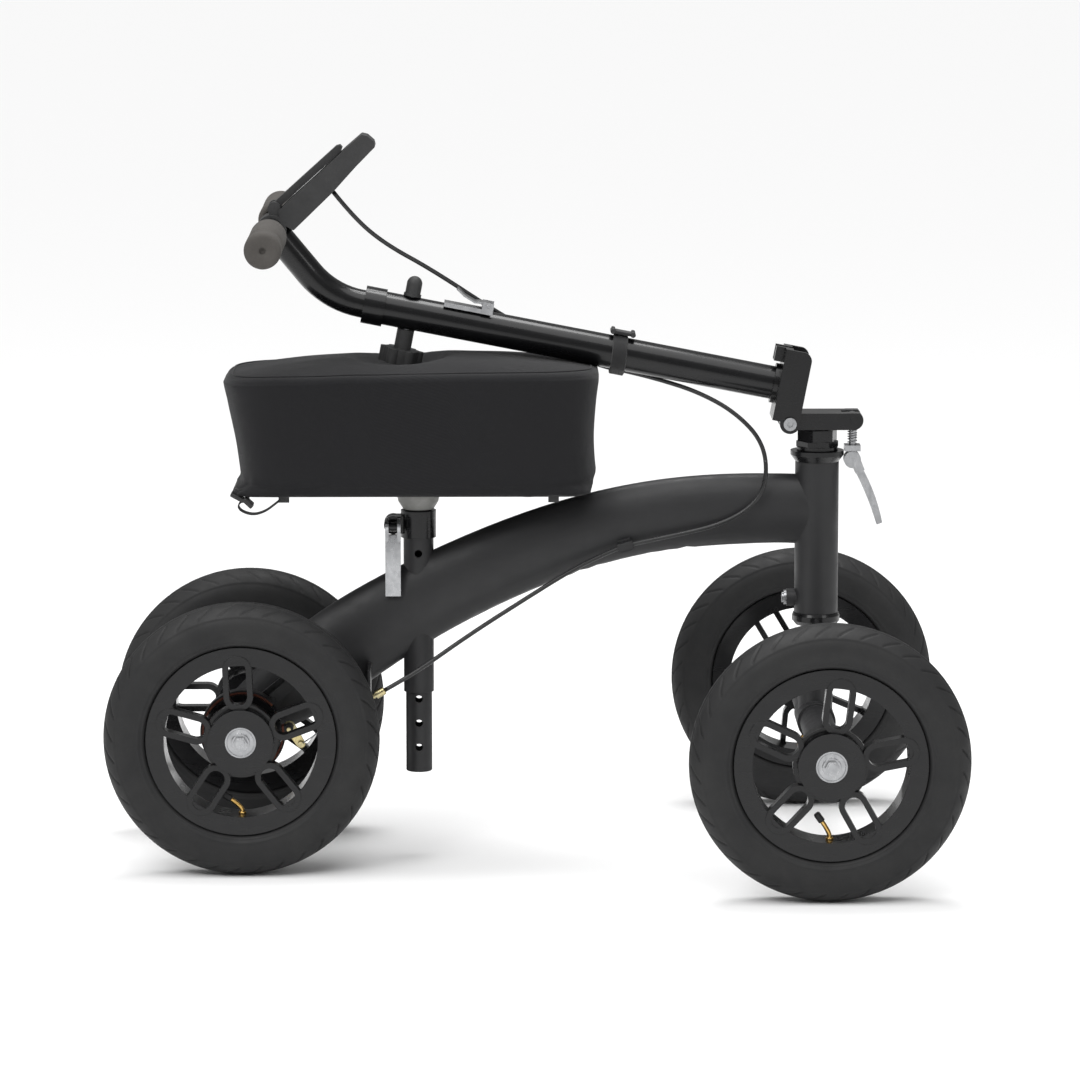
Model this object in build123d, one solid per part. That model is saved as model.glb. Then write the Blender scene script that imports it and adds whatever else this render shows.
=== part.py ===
from build123d import *
import os
from math import atan2, cos, degrees, pi, radians, sin, tan

os.makedirs("parts", exist_ok=True)

# Folding all-terrain knee scooter. Millimetres, +X forward, +Y to the rider's left, +Z up.
# The origin is on the floor, midway between the front and rear axles.

# ---- Overall sizes -------------------------------------------------------------------------
wheelbase = 654
front_track = 530
rear_track = 240
front_x = wheelbase / 2
rear_x = -wheelbase / 2

# ---- Wheels: 57-203 pneumatic tyre on a five-spoke cast rim --------------------------------
tyre_od = 312
tyre_width = 57
tyre_wall = 5
rim_flange_r = 107
rim_well_r = 90
rim_window_r = 86.5
rim_width = 44
flange_t = 4
spoke_count = 5
spoke_pair_width = 33
spoke_bar = 6.5
spoke_inner_r = 35
spoke_outer_r = 98
spoke_back = 7
hub_r = 37
hub_width = 57
hub_ring_r = 42
bearing_od = 35
bearing_bore = 15
bearing_width = 11
valve_d = 5.5
axle_z = tyre_od / 2

# ---- Frame ---------------------------------------------------------------------------------
beam_width = 46
head_tube_od = 50
head_tube_bore = 36
head_bottom_z = 279
head_top_z = 454
seat_tube_od = 34.5
seat_tube_bore = 30.1
seat_tube_bottom_z = 188
seat_tube_top_z = 397
seat_setback = 198.5
seat_x = rear_x + seat_setback
axle_tube_od = 38
hub_side_gap = 3.5

# ---- Steering ------------------------------------------------------------------------------
steerer_od = 28.6
steerer_bore = 22
cup_height = 12.5
lower_cup_height = 14
nut_height = 10.5
base_top_z = 511
base_thickness = 19
base_width = 46
front_beam_od = 38

# ---- Folding hinge and column --------------------------------------------------------------
hinge_setback = 33
hinge_z = 500
hinge_pin_d = 8
column_tilt = 11
column_offset = 39.5
column_od = 38
column_bore = 32.2
column_length = 470
head_seat_t = 11.5
head_plate_t = 9
cheek_gap = 47
cheek_t = 5.5
head_length = 83
trunnion_setforward = 40
trunnion_d = 8
swing_bolt_d = 7.6
swing_bolt_reach = 47
fork_slot = 12.4

# ---- Handlebar -----------------------------------------------------------------------------
stem_od = 32
stem_bore = 27
stem_inner_end = 300
handle_travel = 120
stem_straight = 539.5
stem_rise_angle = 50.5
stem_rise = 102
stem_bend_r = 100
bar_width = 520
bar_od = 25.4
grip_od = 41
grip_length = 160
height_bolt_t = 448
height_bolt_d = 8

# ---- Seat ----------------------------------------------------------------------------------
post_od = 30
post_bore = 25
post_bottom_z = 95
post_hole_d = 8.6
post_hole_pitch = 28.2
post_first_hole_z = 124
pad_length = 424
pad_width = 190
pad_front_x = 77
pad_top_z = 560
pad_bottom_z = 433.3
board_t = 8
flange_top_z = 425

# ---- Brake ---------------------------------------------------------------------------------
drum_r = 44
drum_width = 22
band_t = 1.8
lining_t = 2.4
cable_d = 5
wire_d = 1.6

running_gap = 0.3
fit = 0.05
axle_d = bearing_bore - 2 * fit

nodes = {}


def add(name, *shapes):
    solids = []
    for shape in shapes:
        solids += shape.solids()
    nodes[name] = Compound(children=solids) if len(solids) > 1 else solids[0]


def rod_y(x, z, y0, y1, d):
    place = Pos(x, (y0 + y1) / 2, z) * Rot(90, 0, 0)
    return place * Cylinder(d / 2, abs(y1 - y0))


def rod_z(x, y, z0, z1, d):
    return Pos(x, y, (z0 + z1) / 2) * Cylinder(d / 2, z1 - z0)


def tube_z(x, y, z0, z1, od, bore):
    return rod_z(x, y, z0, z1, od) - rod_z(x, y, z0 - 1, z1 + 1, bore)


def rod(start, end, d):
    start = Vector(*start)
    end = Vector(*end)
    plane = Plane(origin=start, z_dir=end - start)
    return plane.location * Pos(0, 0, (end - start).length / 2) * Cylinder(d / 2, (end - start).length)


def block(x0, x1, y0, y1, z0, z1):
    return Pos((x0 + x1) / 2, (y0 + y1) / 2, (z0 + z1) / 2) * Box(x1 - x0, y1 - y0, z1 - z0)


def turned(points):
    """A solid of revolution about Z from (radius, height) points."""
    outline = Polyline(*[(r, 0, h) for r, h in points], close=True)
    return revolve(make_face(outline), Axis.Z)


def side_plate(points, y0, y1):
    """A plate cut from (x, z) points in the side view, from y0 to y1."""
    outline = Polyline(*[(x, y0, z) for x, z in points], close=True)
    return extrude(make_face(outline), amount=y1 - y0, dir=(0, 1, 0))


# ---- Wheel pieces, built about Z with the outer face towards +Z --------------------------------
def tyre_solid():
    half = tyre_width / 2
    crown_r = tyre_od / 2
    mid_r = crown_r - half
    bead = rim_width / 2 - flange_t
    with BuildSketch(Plane.XZ) as section:
        with BuildLine():
            Polyline((rim_well_r, bead), (rim_flange_r + 0.4, bead), (rim_flange_r + 3, bead + 5))
            ThreePointArc(
                (rim_flange_r + 3, bead + 5),
                (mid_r + 2, half),
                (crown_r - 9, half - 9.5),
            )
            ThreePointArc((crown_r - 9, half - 9.5), (crown_r, 0), (crown_r - 9, 9.5 - half))
            ThreePointArc(
                (crown_r - 9, 9.5 - half),
                (mid_r + 2, -half),
                (rim_flange_r + 3, -bead - 5),
            )
            Polyline((rim_flange_r + 3, -bead - 5), (rim_flange_r + 0.4, -bead), (rim_well_r, -bead))
            Polyline((rim_well_r, -bead), (rim_well_r, tyre_wall - bead), (rim_flange_r, tyre_wall - bead))
            inner_r = half - tyre_wall
            ThreePointArc(
                (rim_flange_r, tyre_wall - bead),
                (mid_r + inner_r, 0),
                (rim_flange_r, bead - tyre_wall),
            )
            Polyline((rim_flange_r, bead - tyre_wall), (rim_well_r, bead - tyre_wall), (rim_well_r, bead))
        make_face()
    return revolve(section.sketch, Axis.Z)


def rim_solid(spoke_turn):
    half = rim_width / 2
    lip = half - flange_t
    barrel = turned(
        [
            (rim_flange_r, half),
            (rim_flange_r, lip),
            (rim_well_r, lip),
            (rim_well_r, -lip),
            (rim_flange_r, -lip),
            (rim_flange_r, -half),
            (rim_window_r, -half),
            (rim_window_r, half),
        ]
    )
    hub = Cylinder(hub_r, hub_width)
    shoulder = Pos(0, 0, spoke_back + 4) * (Cylinder(hub_ring_r, 10) - Cylinder(hub_ring_r - 5, 12))
    web = Pos(0, 0, spoke_back + 1.5) * Cylinder(hub_ring_r - 1, 5)
    rim = barrel + hub + shoulder + web
    bead_room = Pos(0, 0, lip / 2) * (Cylinder(rim_flange_r + 20, lip) - Cylinder(rim_well_r - 1, lip + 2))
    loop_length = spoke_outer_r - spoke_inner_r
    loop_mid = (spoke_outer_r + spoke_inner_r) / 2
    spoke_depth = half + 0.8 - spoke_back
    loop = SlotOverall(loop_length, spoke_pair_width)
    hole = SlotOverall(loop_length - 2 * spoke_bar, spoke_pair_width - 2 * spoke_bar)
    for i in range(spoke_count):
        turn = Rot(0, 0, 90 - spoke_turn + i * 360 / spoke_count)
        rim += turn * Pos(loop_mid, 0, spoke_back) * extrude(loop - hole, amount=spoke_depth) - bead_room
    rim -= Cylinder(bearing_od / 2 - 3, hub_width + 2)
    seat_depth = hub_width / 2 - bearing_width - 0.5
    for side in (1, -1):
        seat = Cylinder(bearing_od / 2, bearing_width + 2)
        rim -= Pos(0, 0, side * (seat_depth + bearing_width / 2 + 1)) * seat
    rim -= Rot(0, 0, 90) * Rot(0, 90, 0) * Pos(0, 0, -rim_window_r) * Cylinder(valve_d / 2 + 1, 20)
    return rim


def bearing_solid():
    half = bearing_width / 2
    race = (bearing_od - bearing_bore) / 2
    return turned(
        [
            (bearing_bore / 2, -half),
            (bearing_od / 2, -half),
            (bearing_od / 2, half),
            (bearing_od / 2 - race * 0.2, half),
            (bearing_od / 2 - race * 0.25, half - 0.6),
            (bearing_bore / 2 + race * 0.3, half - 0.6),
            (bearing_bore / 2 + race * 0.25, half),
            (bearing_bore / 2, half),
        ]
    )


def inner_tube_solids(valve_lean):
    """Inflated tube with its bent brass valve, and the black valve cap."""
    tube_mid_r = tyre_od / 2 - tyre_width / 2
    tube_r = tyre_width / 2 - tyre_wall - 0.6
    torus = Torus(tube_mid_r, tube_r)
    foot = (0, -(tube_mid_r - tube_r + 3), 0)
    elbow = (0, -(rim_window_r - 8), 0)
    lean = radians(valve_lean)
    tip = (elbow[0] - 16 * cos(lean), elbow[1] + 16 * sin(lean), 0)
    cap_end = (elbow[0] - 26 * cos(lean), elbow[1] + 26 * sin(lean), 0)
    stem = rod(foot, elbow, valve_d) + Pos(*elbow) * Sphere(valve_d / 2) + rod(elbow, tip, valve_d)
    cap = rod(tip, cap_end, valve_d + 2.5)
    return torus + stem, cap


def add_wheel(name, x, y, spoke_turn, valve_lean):
    outward = Rot(90, 0, 0) if y < 0 else Rot(0, 0, 180) * Rot(90, 0, 0)
    place = Pos(x, y, axle_z) * outward
    add(name + "_tyre", place * tyre_solid())
    tube, cap = inner_tube_solids(valve_lean)
    add(name + "_inner_tube", place * tube, place * cap)
    add(name + "_rim", place * rim_solid(spoke_turn))
    offset = hub_width / 2 - bearing_width / 2 - 0.5
    outer = place * Pos(0, 0, offset) * bearing_solid()
    inner = place * Pos(0, 0, -offset) * Rot(180, 0, 0) * bearing_solid()
    add(name + "_bearings", outer, inner)


add_wheel("front_right", front_x, -front_track / 2, 7, 55)
add_wheel("front_left", front_x, front_track / 2, 31, 55)
add_wheel("rear_right", rear_x, -rear_track / 2, -2.6, 35)
add_wheel("rear_left", rear_x, rear_track / 2, 18, 35)


def axle_bolt(x, y, out):
    """Flanged bolt head and washer on the axle end; out is the side it faces."""
    face = y + out * (hub_width / 2 - 0.5)
    washer = rod_y(x, axle_z, face, face + out * 2, 20)
    hexagon = extrude(RegularPolygon(8, 6), amount=2.5, both=True)
    head = Pos(x, face + out * 4.5, axle_z) * Rot(90, 0, 0) * hexagon
    dome = rod_y(x, axle_z, face + out * 7, face + out * 7.8, 11)
    return washer + head + dome


def axle_set(x, track, right_end, left_end):
    """Shaft, its two end bolts, and the spacers between the hubs and the frame tube's ends."""
    shaft_end = track / 2 + hub_width / 2 - 0.5
    hub_face = track / 2 - hub_width / 2 + 0.5
    around = rod_y(x, axle_z, -track, track, axle_d + 2 * fit)
    return [
        rod_y(x, axle_z, -shaft_end, shaft_end, axle_d),
        axle_bolt(x, -track / 2, -1),
        axle_bolt(x, track / 2, 1),
        rod_y(x, axle_z, -hub_face, right_end, 20) - around,
        rod_y(x, axle_z, left_end, hub_face, 20) - around,
    ]


# ---- Main frame: oval beam, head tube, seat tube and rear axle tube ----------------------------
# Each station of the beam: share of the wheelbase from the rear axle, height, slope, half height.
beam_stations = [
    (0.000, axle_z, 37, 33),
    (0.080, 195, 37, 44),
    (0.187, 245.5, 34, 49.5),
    (0.271, 280, 30.5, 47.5),
    (0.385, 319, 25.5, 45),
    (0.523, 357, 18.5, 43),
    (0.668, 384.5, 10.5, 41.3),
    (0.813, 397, 2.5, 41),
    (1.000, 397.5, 0, 41),
]
beam_sections = []
for share, z, slope, half_height in beam_stations:
    angle = radians(slope)
    plane = Plane(
        origin=(rear_x + share * wheelbase, 0, z),
        x_dir=(0, 1, 0),
        z_dir=(cos(angle), 0, sin(angle)),
    )
    beam_sections.append(plane.location * Ellipse(beam_width / 2, half_height))
beam = loft(beam_sections)
head_tube = rod_z(front_x, 0, head_bottom_z, head_top_z, head_tube_od)
seat_tube = rod_z(seat_x, 0, seat_tube_bottom_z, seat_tube_top_z, seat_tube_od)
drum_inner_y = -(rear_track / 2 - hub_width / 2) + drum_width + 4
axle_tube_right = drum_inner_y + 6
axle_tube_left = rear_track / 2 - hub_width / 2 - hub_side_gap
add("rear_axle", *axle_set(rear_x, rear_track, axle_tube_right, axle_tube_left))
axle_tube = rod_y(rear_x, axle_z, axle_tube_right, axle_tube_left, axle_tube_od)
stop_boss_z = 296
stop_boss = rod((front_x - 20, 0, stop_boss_z), (front_x - head_tube_od / 2 - 9, 0, stop_boss_z), 20)
guide_x = 107.5
guide_z = 359
guide_lug = Pos(guide_x, -beam_width / 2 + 1, guide_z + 1) * Rot(0, -15, 0) * Box(14, 6, 14)
adjuster_x = -176
adjuster_z = 194
adjuster_y = -58
stop_tab = block(-186, -183, adjuster_y - 9, 0, adjuster_z - 12, adjuster_z + 30)
frame = beam + head_tube + seat_tube + axle_tube + stop_boss + guide_lug + stop_tab
frame -= rod_z(front_x, 0, head_bottom_z - 1, head_top_z + 1, head_tube_bore)
frame -= rod_z(seat_x, 0, seat_tube_bottom_z - 1, seat_tube_top_z + 1, seat_tube_bore)
frame -= rod_y(rear_x, axle_z, axle_tube_right - 1, axle_tube_left + 1, axle_d + 2 * fit)
detent_z = post_first_hole_z + 8 * post_hole_pitch
frame -= rod_y(seat_x, detent_z, -seat_tube_od, 0, post_hole_d)
frame -= rod((front_x - 18, 0, stop_boss_z), (front_x - 40, 0, stop_boss_z), 8)
housing_end = Vector(adjuster_x + 9, adjuster_y, adjuster_z + 5)
adjuster_axis = Vector(9, 0, 5).normalized()
barrel_tail = housing_end - adjuster_axis * 26
frame -= rod(barrel_tail, housing_end, 5.6)
add("main_frame", frame)
boss_face = front_x - head_tube_od / 2 - 9
add(
    "stop_bolt",
    rod((front_x - 19, 0, stop_boss_z), (boss_face, 0, stop_boss_z), 7.9)
    + rod((boss_face, 0, stop_boss_z), (boss_face - 3, 0, stop_boss_z), 17)
    + rod((boss_face - 3, 0, stop_boss_z), (boss_face - 5.5, 0, stop_boss_z), 12),
)

# ---- Headset -----------------------------------------------------------------------------------
cup_top_z = head_top_z + cup_height
upper_cup = Pos(front_x, 0, head_top_z) * turned(
    [
        (head_tube_od / 2 - 9, -8),
        (head_tube_bore / 2 - fit, -8),
        (head_tube_bore / 2 - fit, 0),
        (head_tube_od / 2, 0),
        (head_tube_od / 2 + 5.5, 7.5),
        (head_tube_od / 2 + 5.5, cup_height),
        (head_tube_od / 2 - 5, cup_height),
        (head_tube_od / 2 - 9, 5),
    ]
)
lower_cup = Pos(front_x, 0, head_bottom_z) * turned(
    [
        (head_tube_od / 2 - 9, 8),
        (head_tube_bore / 2 - fit, 8),
        (head_tube_bore / 2 - fit, 0),
        (head_tube_od / 2 + 1, 0),
        (head_tube_od / 2 + 2.2, -3),
        (head_tube_od / 2 + 2.2, -9),
        (head_tube_od / 2 - 2, -lower_cup_height),
        (head_tube_od / 2 - 6, -lower_cup_height),
        (head_tube_od / 2 - 9, -5),
    ]
)
ball_ring_od = head_tube_od - 18 - 2 * fit
ball_ring_bore = steerer_od + 2 * fit
add(
    "headset_cups",
    upper_cup,
    lower_cup,
    tube_z(front_x, 0, head_top_z - 6, head_top_z + 4, ball_ring_od, ball_ring_bore),
    tube_z(front_x, 0, head_bottom_z - 4, head_bottom_z + 6, ball_ring_od, ball_ring_bore),
)
race_z = cup_top_z + running_gap
race = tube_z(front_x, 0, race_z, race_z + 4, 47, steerer_od)
race_hexagon = RegularPolygon(24, 6) - Circle(steerer_od / 2)
hexes = Pos(front_x, 0, race_z + 4) * extrude(race_hexagon, amount=nut_height - 4)
locknut_z = race_z + nut_height
nut_top_z = base_top_z - base_thickness
locknut = Pos(front_x, 0, locknut_z) * Rot(0, 0, 14) * extrude(
    RegularPolygon(23.5, 6) - Circle(steerer_od / 2), amount=nut_top_z - locknut_z - 1.5
)
add("headset_nuts", race + hexes, locknut)

# ---- Steerer and front axle beam ---------------------------------------------------------------
crown_top_z = axle_z + front_beam_od / 2 + 26
steerer_bottom_z = axle_z + front_beam_od / 2 + 2
steerer_top_z = base_top_z - 6
add("steerer_tube", tube_z(front_x, 0, steerer_bottom_z, steerer_top_z, steerer_od, steerer_bore))
beam_end = front_track / 2 - hub_width / 2 - hub_side_gap
crown = rod_z(front_x, 0, axle_z, crown_top_z, 40) + rod_y(front_x, axle_z, -32, 32, front_beam_od + 6)
front_beam = rod_y(front_x, axle_z, -beam_end, beam_end, front_beam_od) + crown
front_beam -= rod_z(front_x, 0, steerer_bottom_z, crown_top_z + 1, steerer_od)
front_beam -= rod_y(front_x, axle_z, -beam_end - 1, beam_end + 1, axle_d + 2 * fit)
add("front_axle_beam", front_beam)
add("front_axle", *axle_set(front_x, front_track, -beam_end, beam_end))

# ---- Hinge base on top of the steerer ----------------------------------------------------------
hinge_x = front_x - hinge_setback
trunnion_x = front_x + trunnion_setforward
trunnion_z = hinge_z + 3
base_bottom_z = base_top_z - base_thickness
half_base = base_width / 2
base = block(hinge_x + 6, trunnion_x, 0.4 - half_base, half_base - 0.4, base_bottom_z, base_top_z)
base += rod_y(hinge_x, hinge_z, 0.4 - half_base, half_base - 0.4, 21)
base += rod_y(trunnion_x, trunnion_z, 0.4 - half_base, half_base - 0.4, 22)
slot_half = fork_slot / 2
base -= block(trunnion_x - 13, trunnion_x + 20, -slot_half, slot_half, base_bottom_z - 5, base_top_z + 10)
base -= rod_z(front_x, 0, base_bottom_z - 1, steerer_top_z, steerer_od)
upright_seat_z = hinge_z + head_seat_t - running_gap
eye_x = trunnion_x
base -= block(eye_x - 20, eye_x + 20, -half_base - 1, half_base + 1, upright_seat_z, upright_seat_z + 20)
base -= rod_y(hinge_x, hinge_z, -40, 40, hinge_pin_d + 2 * fit)
base -= rod_y(trunnion_x, trunnion_z, -40, 40, trunnion_d)
add("hinge_base", base, rod_y(trunnion_x, trunnion_z, -half_base, half_base, trunnion_d))

# ---- Swing bolt, its spring and washer, and the cam lever --------------------------------------
lever_pivot_z = trunnion_z - swing_bolt_reach
eye_w = 11.6
bolt_eye = rod_y(trunnion_x, trunnion_z, -eye_w / 2, eye_w / 2, 15)
bolt_end = rod_y(trunnion_x, lever_pivot_z, -4.5, 4.5, 12)
bolt = bolt_eye + bolt_end + rod_z(trunnion_x, 0, lever_pivot_z, trunnion_z, swing_bolt_d)
bolt -= rod_y(trunnion_x, trunnion_z, -10, 10, trunnion_d + 2 * fit)
bolt -= rod_y(trunnion_x, lever_pivot_z, -10, 10, 6 + 2 * fit)
spring_od = 13
spring_wire = 1.4
spring_top_z = trunnion_z - 8.5
washer_top_z = trunnion_z - 30.3
coil_pitch = (spring_top_z - washer_top_z - spring_wire) / 5
coils = []
for i in range(6):
    ring = Pos(trunnion_x, 0, washer_top_z + spring_wire / 2 + i * coil_pitch)
    coils.append(ring * Torus(spring_od / 2 - spring_wire / 2 - 0.8, spring_wire / 2))
add("swing_bolt_spring", *coils)
cam_r = 9.6
cam_washer_z = lever_pivot_z + cam_r + 0.3
add(
    "swing_bolt",
    bolt,
    block(trunnion_x - 9, trunnion_x + 9, -10, 10, cam_washer_z, washer_top_z)
    - rod_z(trunnion_x, 0, cam_washer_z - 1, washer_top_z + 1, swing_bolt_d + 2 * fit),
)


def cam_lever(length, width, thick, bow, pin_gap, pin_slack):
    """Cam lever about local Y: fork cheeks round the pivot, and a bowed blade along +X."""
    cheek = (width - pin_gap) / 2 - 0.3
    mid = pin_gap / 2 + 0.3 + cheek / 2
    body = None
    for side in (1, -1):
        disc = Pos(0, side * mid, 0) * Rot(90, 0, 0) * Cylinder(cam_r, cheek)
        web = Pos(8, side * mid, 3) * Box(16, cheek, 2 * cam_r - 8)
        body = disc + web if body is None else body + disc + web
    root = cam_r - 3.2
    tip = 5.2 + bow * 0.2
    mid_x = length * 0.55
    with BuildSketch(Plane.XZ) as blade:
        with BuildLine():
            ThreePointArc((9, root), (mid_x, cam_r + bow), (length, tip))
            Line((length, tip), (length, tip - thick * 0.75))
            ThreePointArc((length, tip - thick * 0.75), (mid_x, cam_r + bow - thick), (9, root - thick))
            Line((9, root - thick), (9, root))
        make_face()
    body += extrude(blade.sketch, amount=width / 2, both=True)
    body -= Rot(90, 0, 0) * Cylinder(3 + pin_slack, width + 4)
    return body


hinge_lever_width = 18
blade_angle = radians(-68)
hinge_lever_place = Plane(
    origin=(trunnion_x, 0, lever_pivot_z),
    x_dir=(cos(blade_angle), 0, sin(blade_angle)),
    z_dir=(-sin(blade_angle), 0, cos(blade_angle)),
)
add(
    "hinge_lever",
    hinge_lever_place.location * cam_lever(80, hinge_lever_width, 9, -1, 9.2, 0),
    rod_y(trunnion_x, lever_pivot_z, -hinge_lever_width / 2, hinge_lever_width / 2, 6),
)

# ---- Column: drawn upright-wise in (p, y, t): p ahead of the hinge pin, t up the column ---------
tilt = radians(column_tilt)
column_place = Plane(
    origin=(hinge_x, 0, hinge_z),
    x_dir=(sin(tilt), 0, cos(tilt)),
    z_dir=(-cos(tilt), 0, sin(tilt)),
).location


def on_column(shape):
    return column_place * shape


outer_half = cheek_gap / 2 + cheek_t
plate_top_t = head_seat_t + head_plate_t
head = block(0.6, head_length, -outer_half, outer_half, head_seat_t, plate_top_t)
head += block(head_length - 17, head_length, -13, 13, plate_top_t, plate_top_t + 10.5)
head += Pos(column_offset, 0, plate_top_t + 3) * Cylinder(column_od / 2 + 4, 6)
for side in (1, -1):
    y0 = side * cheek_gap / 2
    y1 = side * outer_half
    cheek = block(0, head_length, min(y0, y1), max(y0, y1), -10.5, head_seat_t)
    corner = block(head_length - 10, head_length + 1, -outer_half - 1, outer_half + 1, -11.5, -0.5)
    cheek -= corner - rod_y(head_length - 10, -0.5, -outer_half - 2, outer_half + 2, 20)
    cheek += rod_y(0, 0, y0, y1, 23)
    head += cheek
slot_end = hinge_setback + trunnion_setforward - fork_slot / 2
head -= block(slot_end, head_length + 1, -fork_slot / 2, fork_slot / 2, head_seat_t - 1, plate_top_t + 12)
head -= rod_y(0, 0, -40, 40, hinge_pin_d)
head -= rod_z(column_offset, 0, plate_top_t - 4, plate_top_t + 8, column_od)
add("hinge_head", on_column(head))
pin_half = outer_half + 0.2
hinge_pin = rod_y(0, 0, -pin_half, pin_half, hinge_pin_d)
hinge_pin += rod_y(0, 0, -pin_half - 5, -pin_half, 14.8) + rod_y(0, 0, pin_half, pin_half + 4, 13)
hinge_pin -= Pos(0, -pin_half - 5, 0) * Rot(90, 0, 0) * extrude(RegularPolygon(3.6, 6), amount=3, both=True)
add("hinge_pin", on_column(hinge_pin))

tube_start_t = plate_top_t - 4
column_end_t = tube_start_t + column_length + 2
column = tube_z(column_offset, 0, tube_start_t, column_end_t, column_od, column_bore)
bolt_hole = rod((0, 0, height_bolt_t), (90, 0, height_bolt_t), height_bolt_d + 0.4)
add("column_tube", on_column(column - bolt_hole))
collar_t0 = column_end_t - 12
collar_t1 = column_end_t + 12
collar = tube_z(column_offset, 0, collar_t0, column_end_t, column_od + 5, column_od)
collar += tube_z(column_offset, 0, column_end_t, collar_t1, column_od + 5, column_bore)
add("column_collar", on_column(collar))

# ---- Handlebar stem, bar and grips -------------------------------------------------------------
stem_rise_turn = stem_rise_angle - column_tilt
bend_back = stem_bend_r * tan(radians(stem_rise_turn) / 2)
rise = radians(stem_rise_turn)
bar_p = column_offset + stem_rise * sin(rise)
bar_t = stem_straight + stem_rise * cos(rise)
with BuildLine() as stem_path:
    FilletPolyline(
        (column_offset, 0, stem_inner_end),
        (column_offset, 0, stem_straight),
        (bar_p, 0, bar_t),
        radius=stem_bend_r,
    )


def along_stem(d):
    wire = stem_path.wires()[0]
    return sweep(Plane(wire @ 0, z_dir=wire % 0).location * Circle(d / 2), path=wire)


stem = along_stem(stem_od) - along_stem(stem_bore)
bar = rod_y(bar_p, bar_t, -bar_width / 2, bar_width / 2, bar_od)
stem = stem + bar
stem -= rod_y(bar_p, bar_t, -bar_width / 2 - 1, bar_width / 2 + 1, bar_od - 5)
slot_low = height_bolt_t - handle_travel - 0.6 - height_bolt_d / 2
slot_high = height_bolt_t + 0.6 + height_bolt_d / 2
stem -= block(0, 90, -height_bolt_d / 2 - 0.5, height_bolt_d / 2 + 0.5, slot_low, slot_high)
add("handlebar_stem", on_column(stem))


def grip(side):
    inner = side * (bar_width / 2 - grip_length + 3)
    outer = side * (bar_width / 2 + 3)
    body = rod_y(bar_p, bar_t, inner, outer, grip_od)
    body = chamfer(body.edges().filter_by(GeomType.CIRCLE), 2.5)
    return body - rod_y(bar_p, bar_t, inner - side, side * bar_width / 2, bar_od)


add("grips", on_column(grip(-1)), on_column(grip(1)))

# ---- Height bolt with star knob, acorn cap -----------------------------------------------------
column_under_p = column_offset - column_od / 2
column_over_p = column_offset + column_od / 2
knob_top_p = column_under_p - 22.5
knob_bottom_p = knob_top_p - 17
knob_lobes = 6
knob_sketch = Circle(20.5)
for i in range(knob_lobes):
    knob_sketch += Rot(0, 0, i * 360 / knob_lobes) * Pos(18, 0) * Circle(6.8)
knob_place = Plane(origin=(knob_bottom_p, 0, height_bolt_t), x_dir=(0, 0, 1), z_dir=(1, 0, 0)).location
knob = knob_place * extrude(knob_sketch, amount=17)
knob += rod((knob_top_p, 0, height_bolt_t), (column_under_p - running_gap, 0, height_bolt_t), 19.5)
bolt_top_p = column_over_p + 10
shank = rod((knob_top_p - 10, 0, height_bolt_t), (bolt_top_p, 0, height_bolt_t), height_bolt_d)
knob -= shank
acorn_base_p = column_over_p + running_gap
acorn = rod((acorn_base_p, 0, height_bolt_t), (acorn_base_p + 3, 0, height_bolt_t), 20)
acorn += rod((acorn_base_p + 3, 0, height_bolt_t), (acorn_base_p + 14.5, 0, height_bolt_t), 17.6)
acorn += Pos(acorn_base_p + 14.5, 0, height_bolt_t) * Sphere(8.8)
acorn -= rod((acorn_base_p - 1, 0, height_bolt_t), (bolt_top_p + 0.2, 0, height_bolt_t), height_bolt_d)
add("height_bolt", on_column(knob), on_column(acorn))
add("height_bolt_shank", on_column(shank))

# ---- Sheet-metal latch on the column -----------------------------------------------------------
latch_t = 361
latch_p = column_over_p + 6.5
latch_half = 15
latch_base = block(column_over_p - 3, column_over_p + 2, -latch_half, latch_half, latch_t - 4, latch_t + 50)
for side in (1, -1):
    y0, y1 = sorted((side * (latch_half - 1), side * (latch_half + 1)))
    latch_base += block(column_over_p - 3, latch_p + 4, y0, y1, latch_t - 6, latch_t + 7)
latch_base -= rod_z(column_offset, 0, latch_t - 10, latch_t + 60, column_od)
latch_base -= rod_y(latch_p, latch_t, -30, 30, 4)
latch_pin = rod_y(latch_p, latch_t, -latch_half - 2, latch_half + 2, 4)
add("latch_base", on_column(latch_base), on_column(latch_pin))
latch_points = [(latch_p, latch_t), (latch_p + 3, latch_t + 3), (latch_p + 1.6, latch_t + 16)]
latch_points += [(latch_p + 6.5, latch_t + 29), (latch_p + 12.5, latch_t + 38)]
sheet = rod_y(latch_p, latch_t, 1.4 - latch_half, latch_half - 1.4, 7)
for (p0, t0), (p1, t1) in zip(latch_points, latch_points[1:]):
    run = ((p1 - p0) ** 2 + (t1 - t0) ** 2) ** 0.5
    lean = degrees(atan2(p1 - p0, t1 - t0))
    leaf = Pos((p0 + p1) / 2, 0, (t0 + t1) / 2) * Rot(0, lean, 0)
    sheet += leaf * Box(2, 2 * latch_half - 2.8, run + 1.6)
sheet -= rod_y(latch_p, latch_t, -30, 30, 4 + 2 * fit)
add("latch_lever", on_column(sheet))

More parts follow.
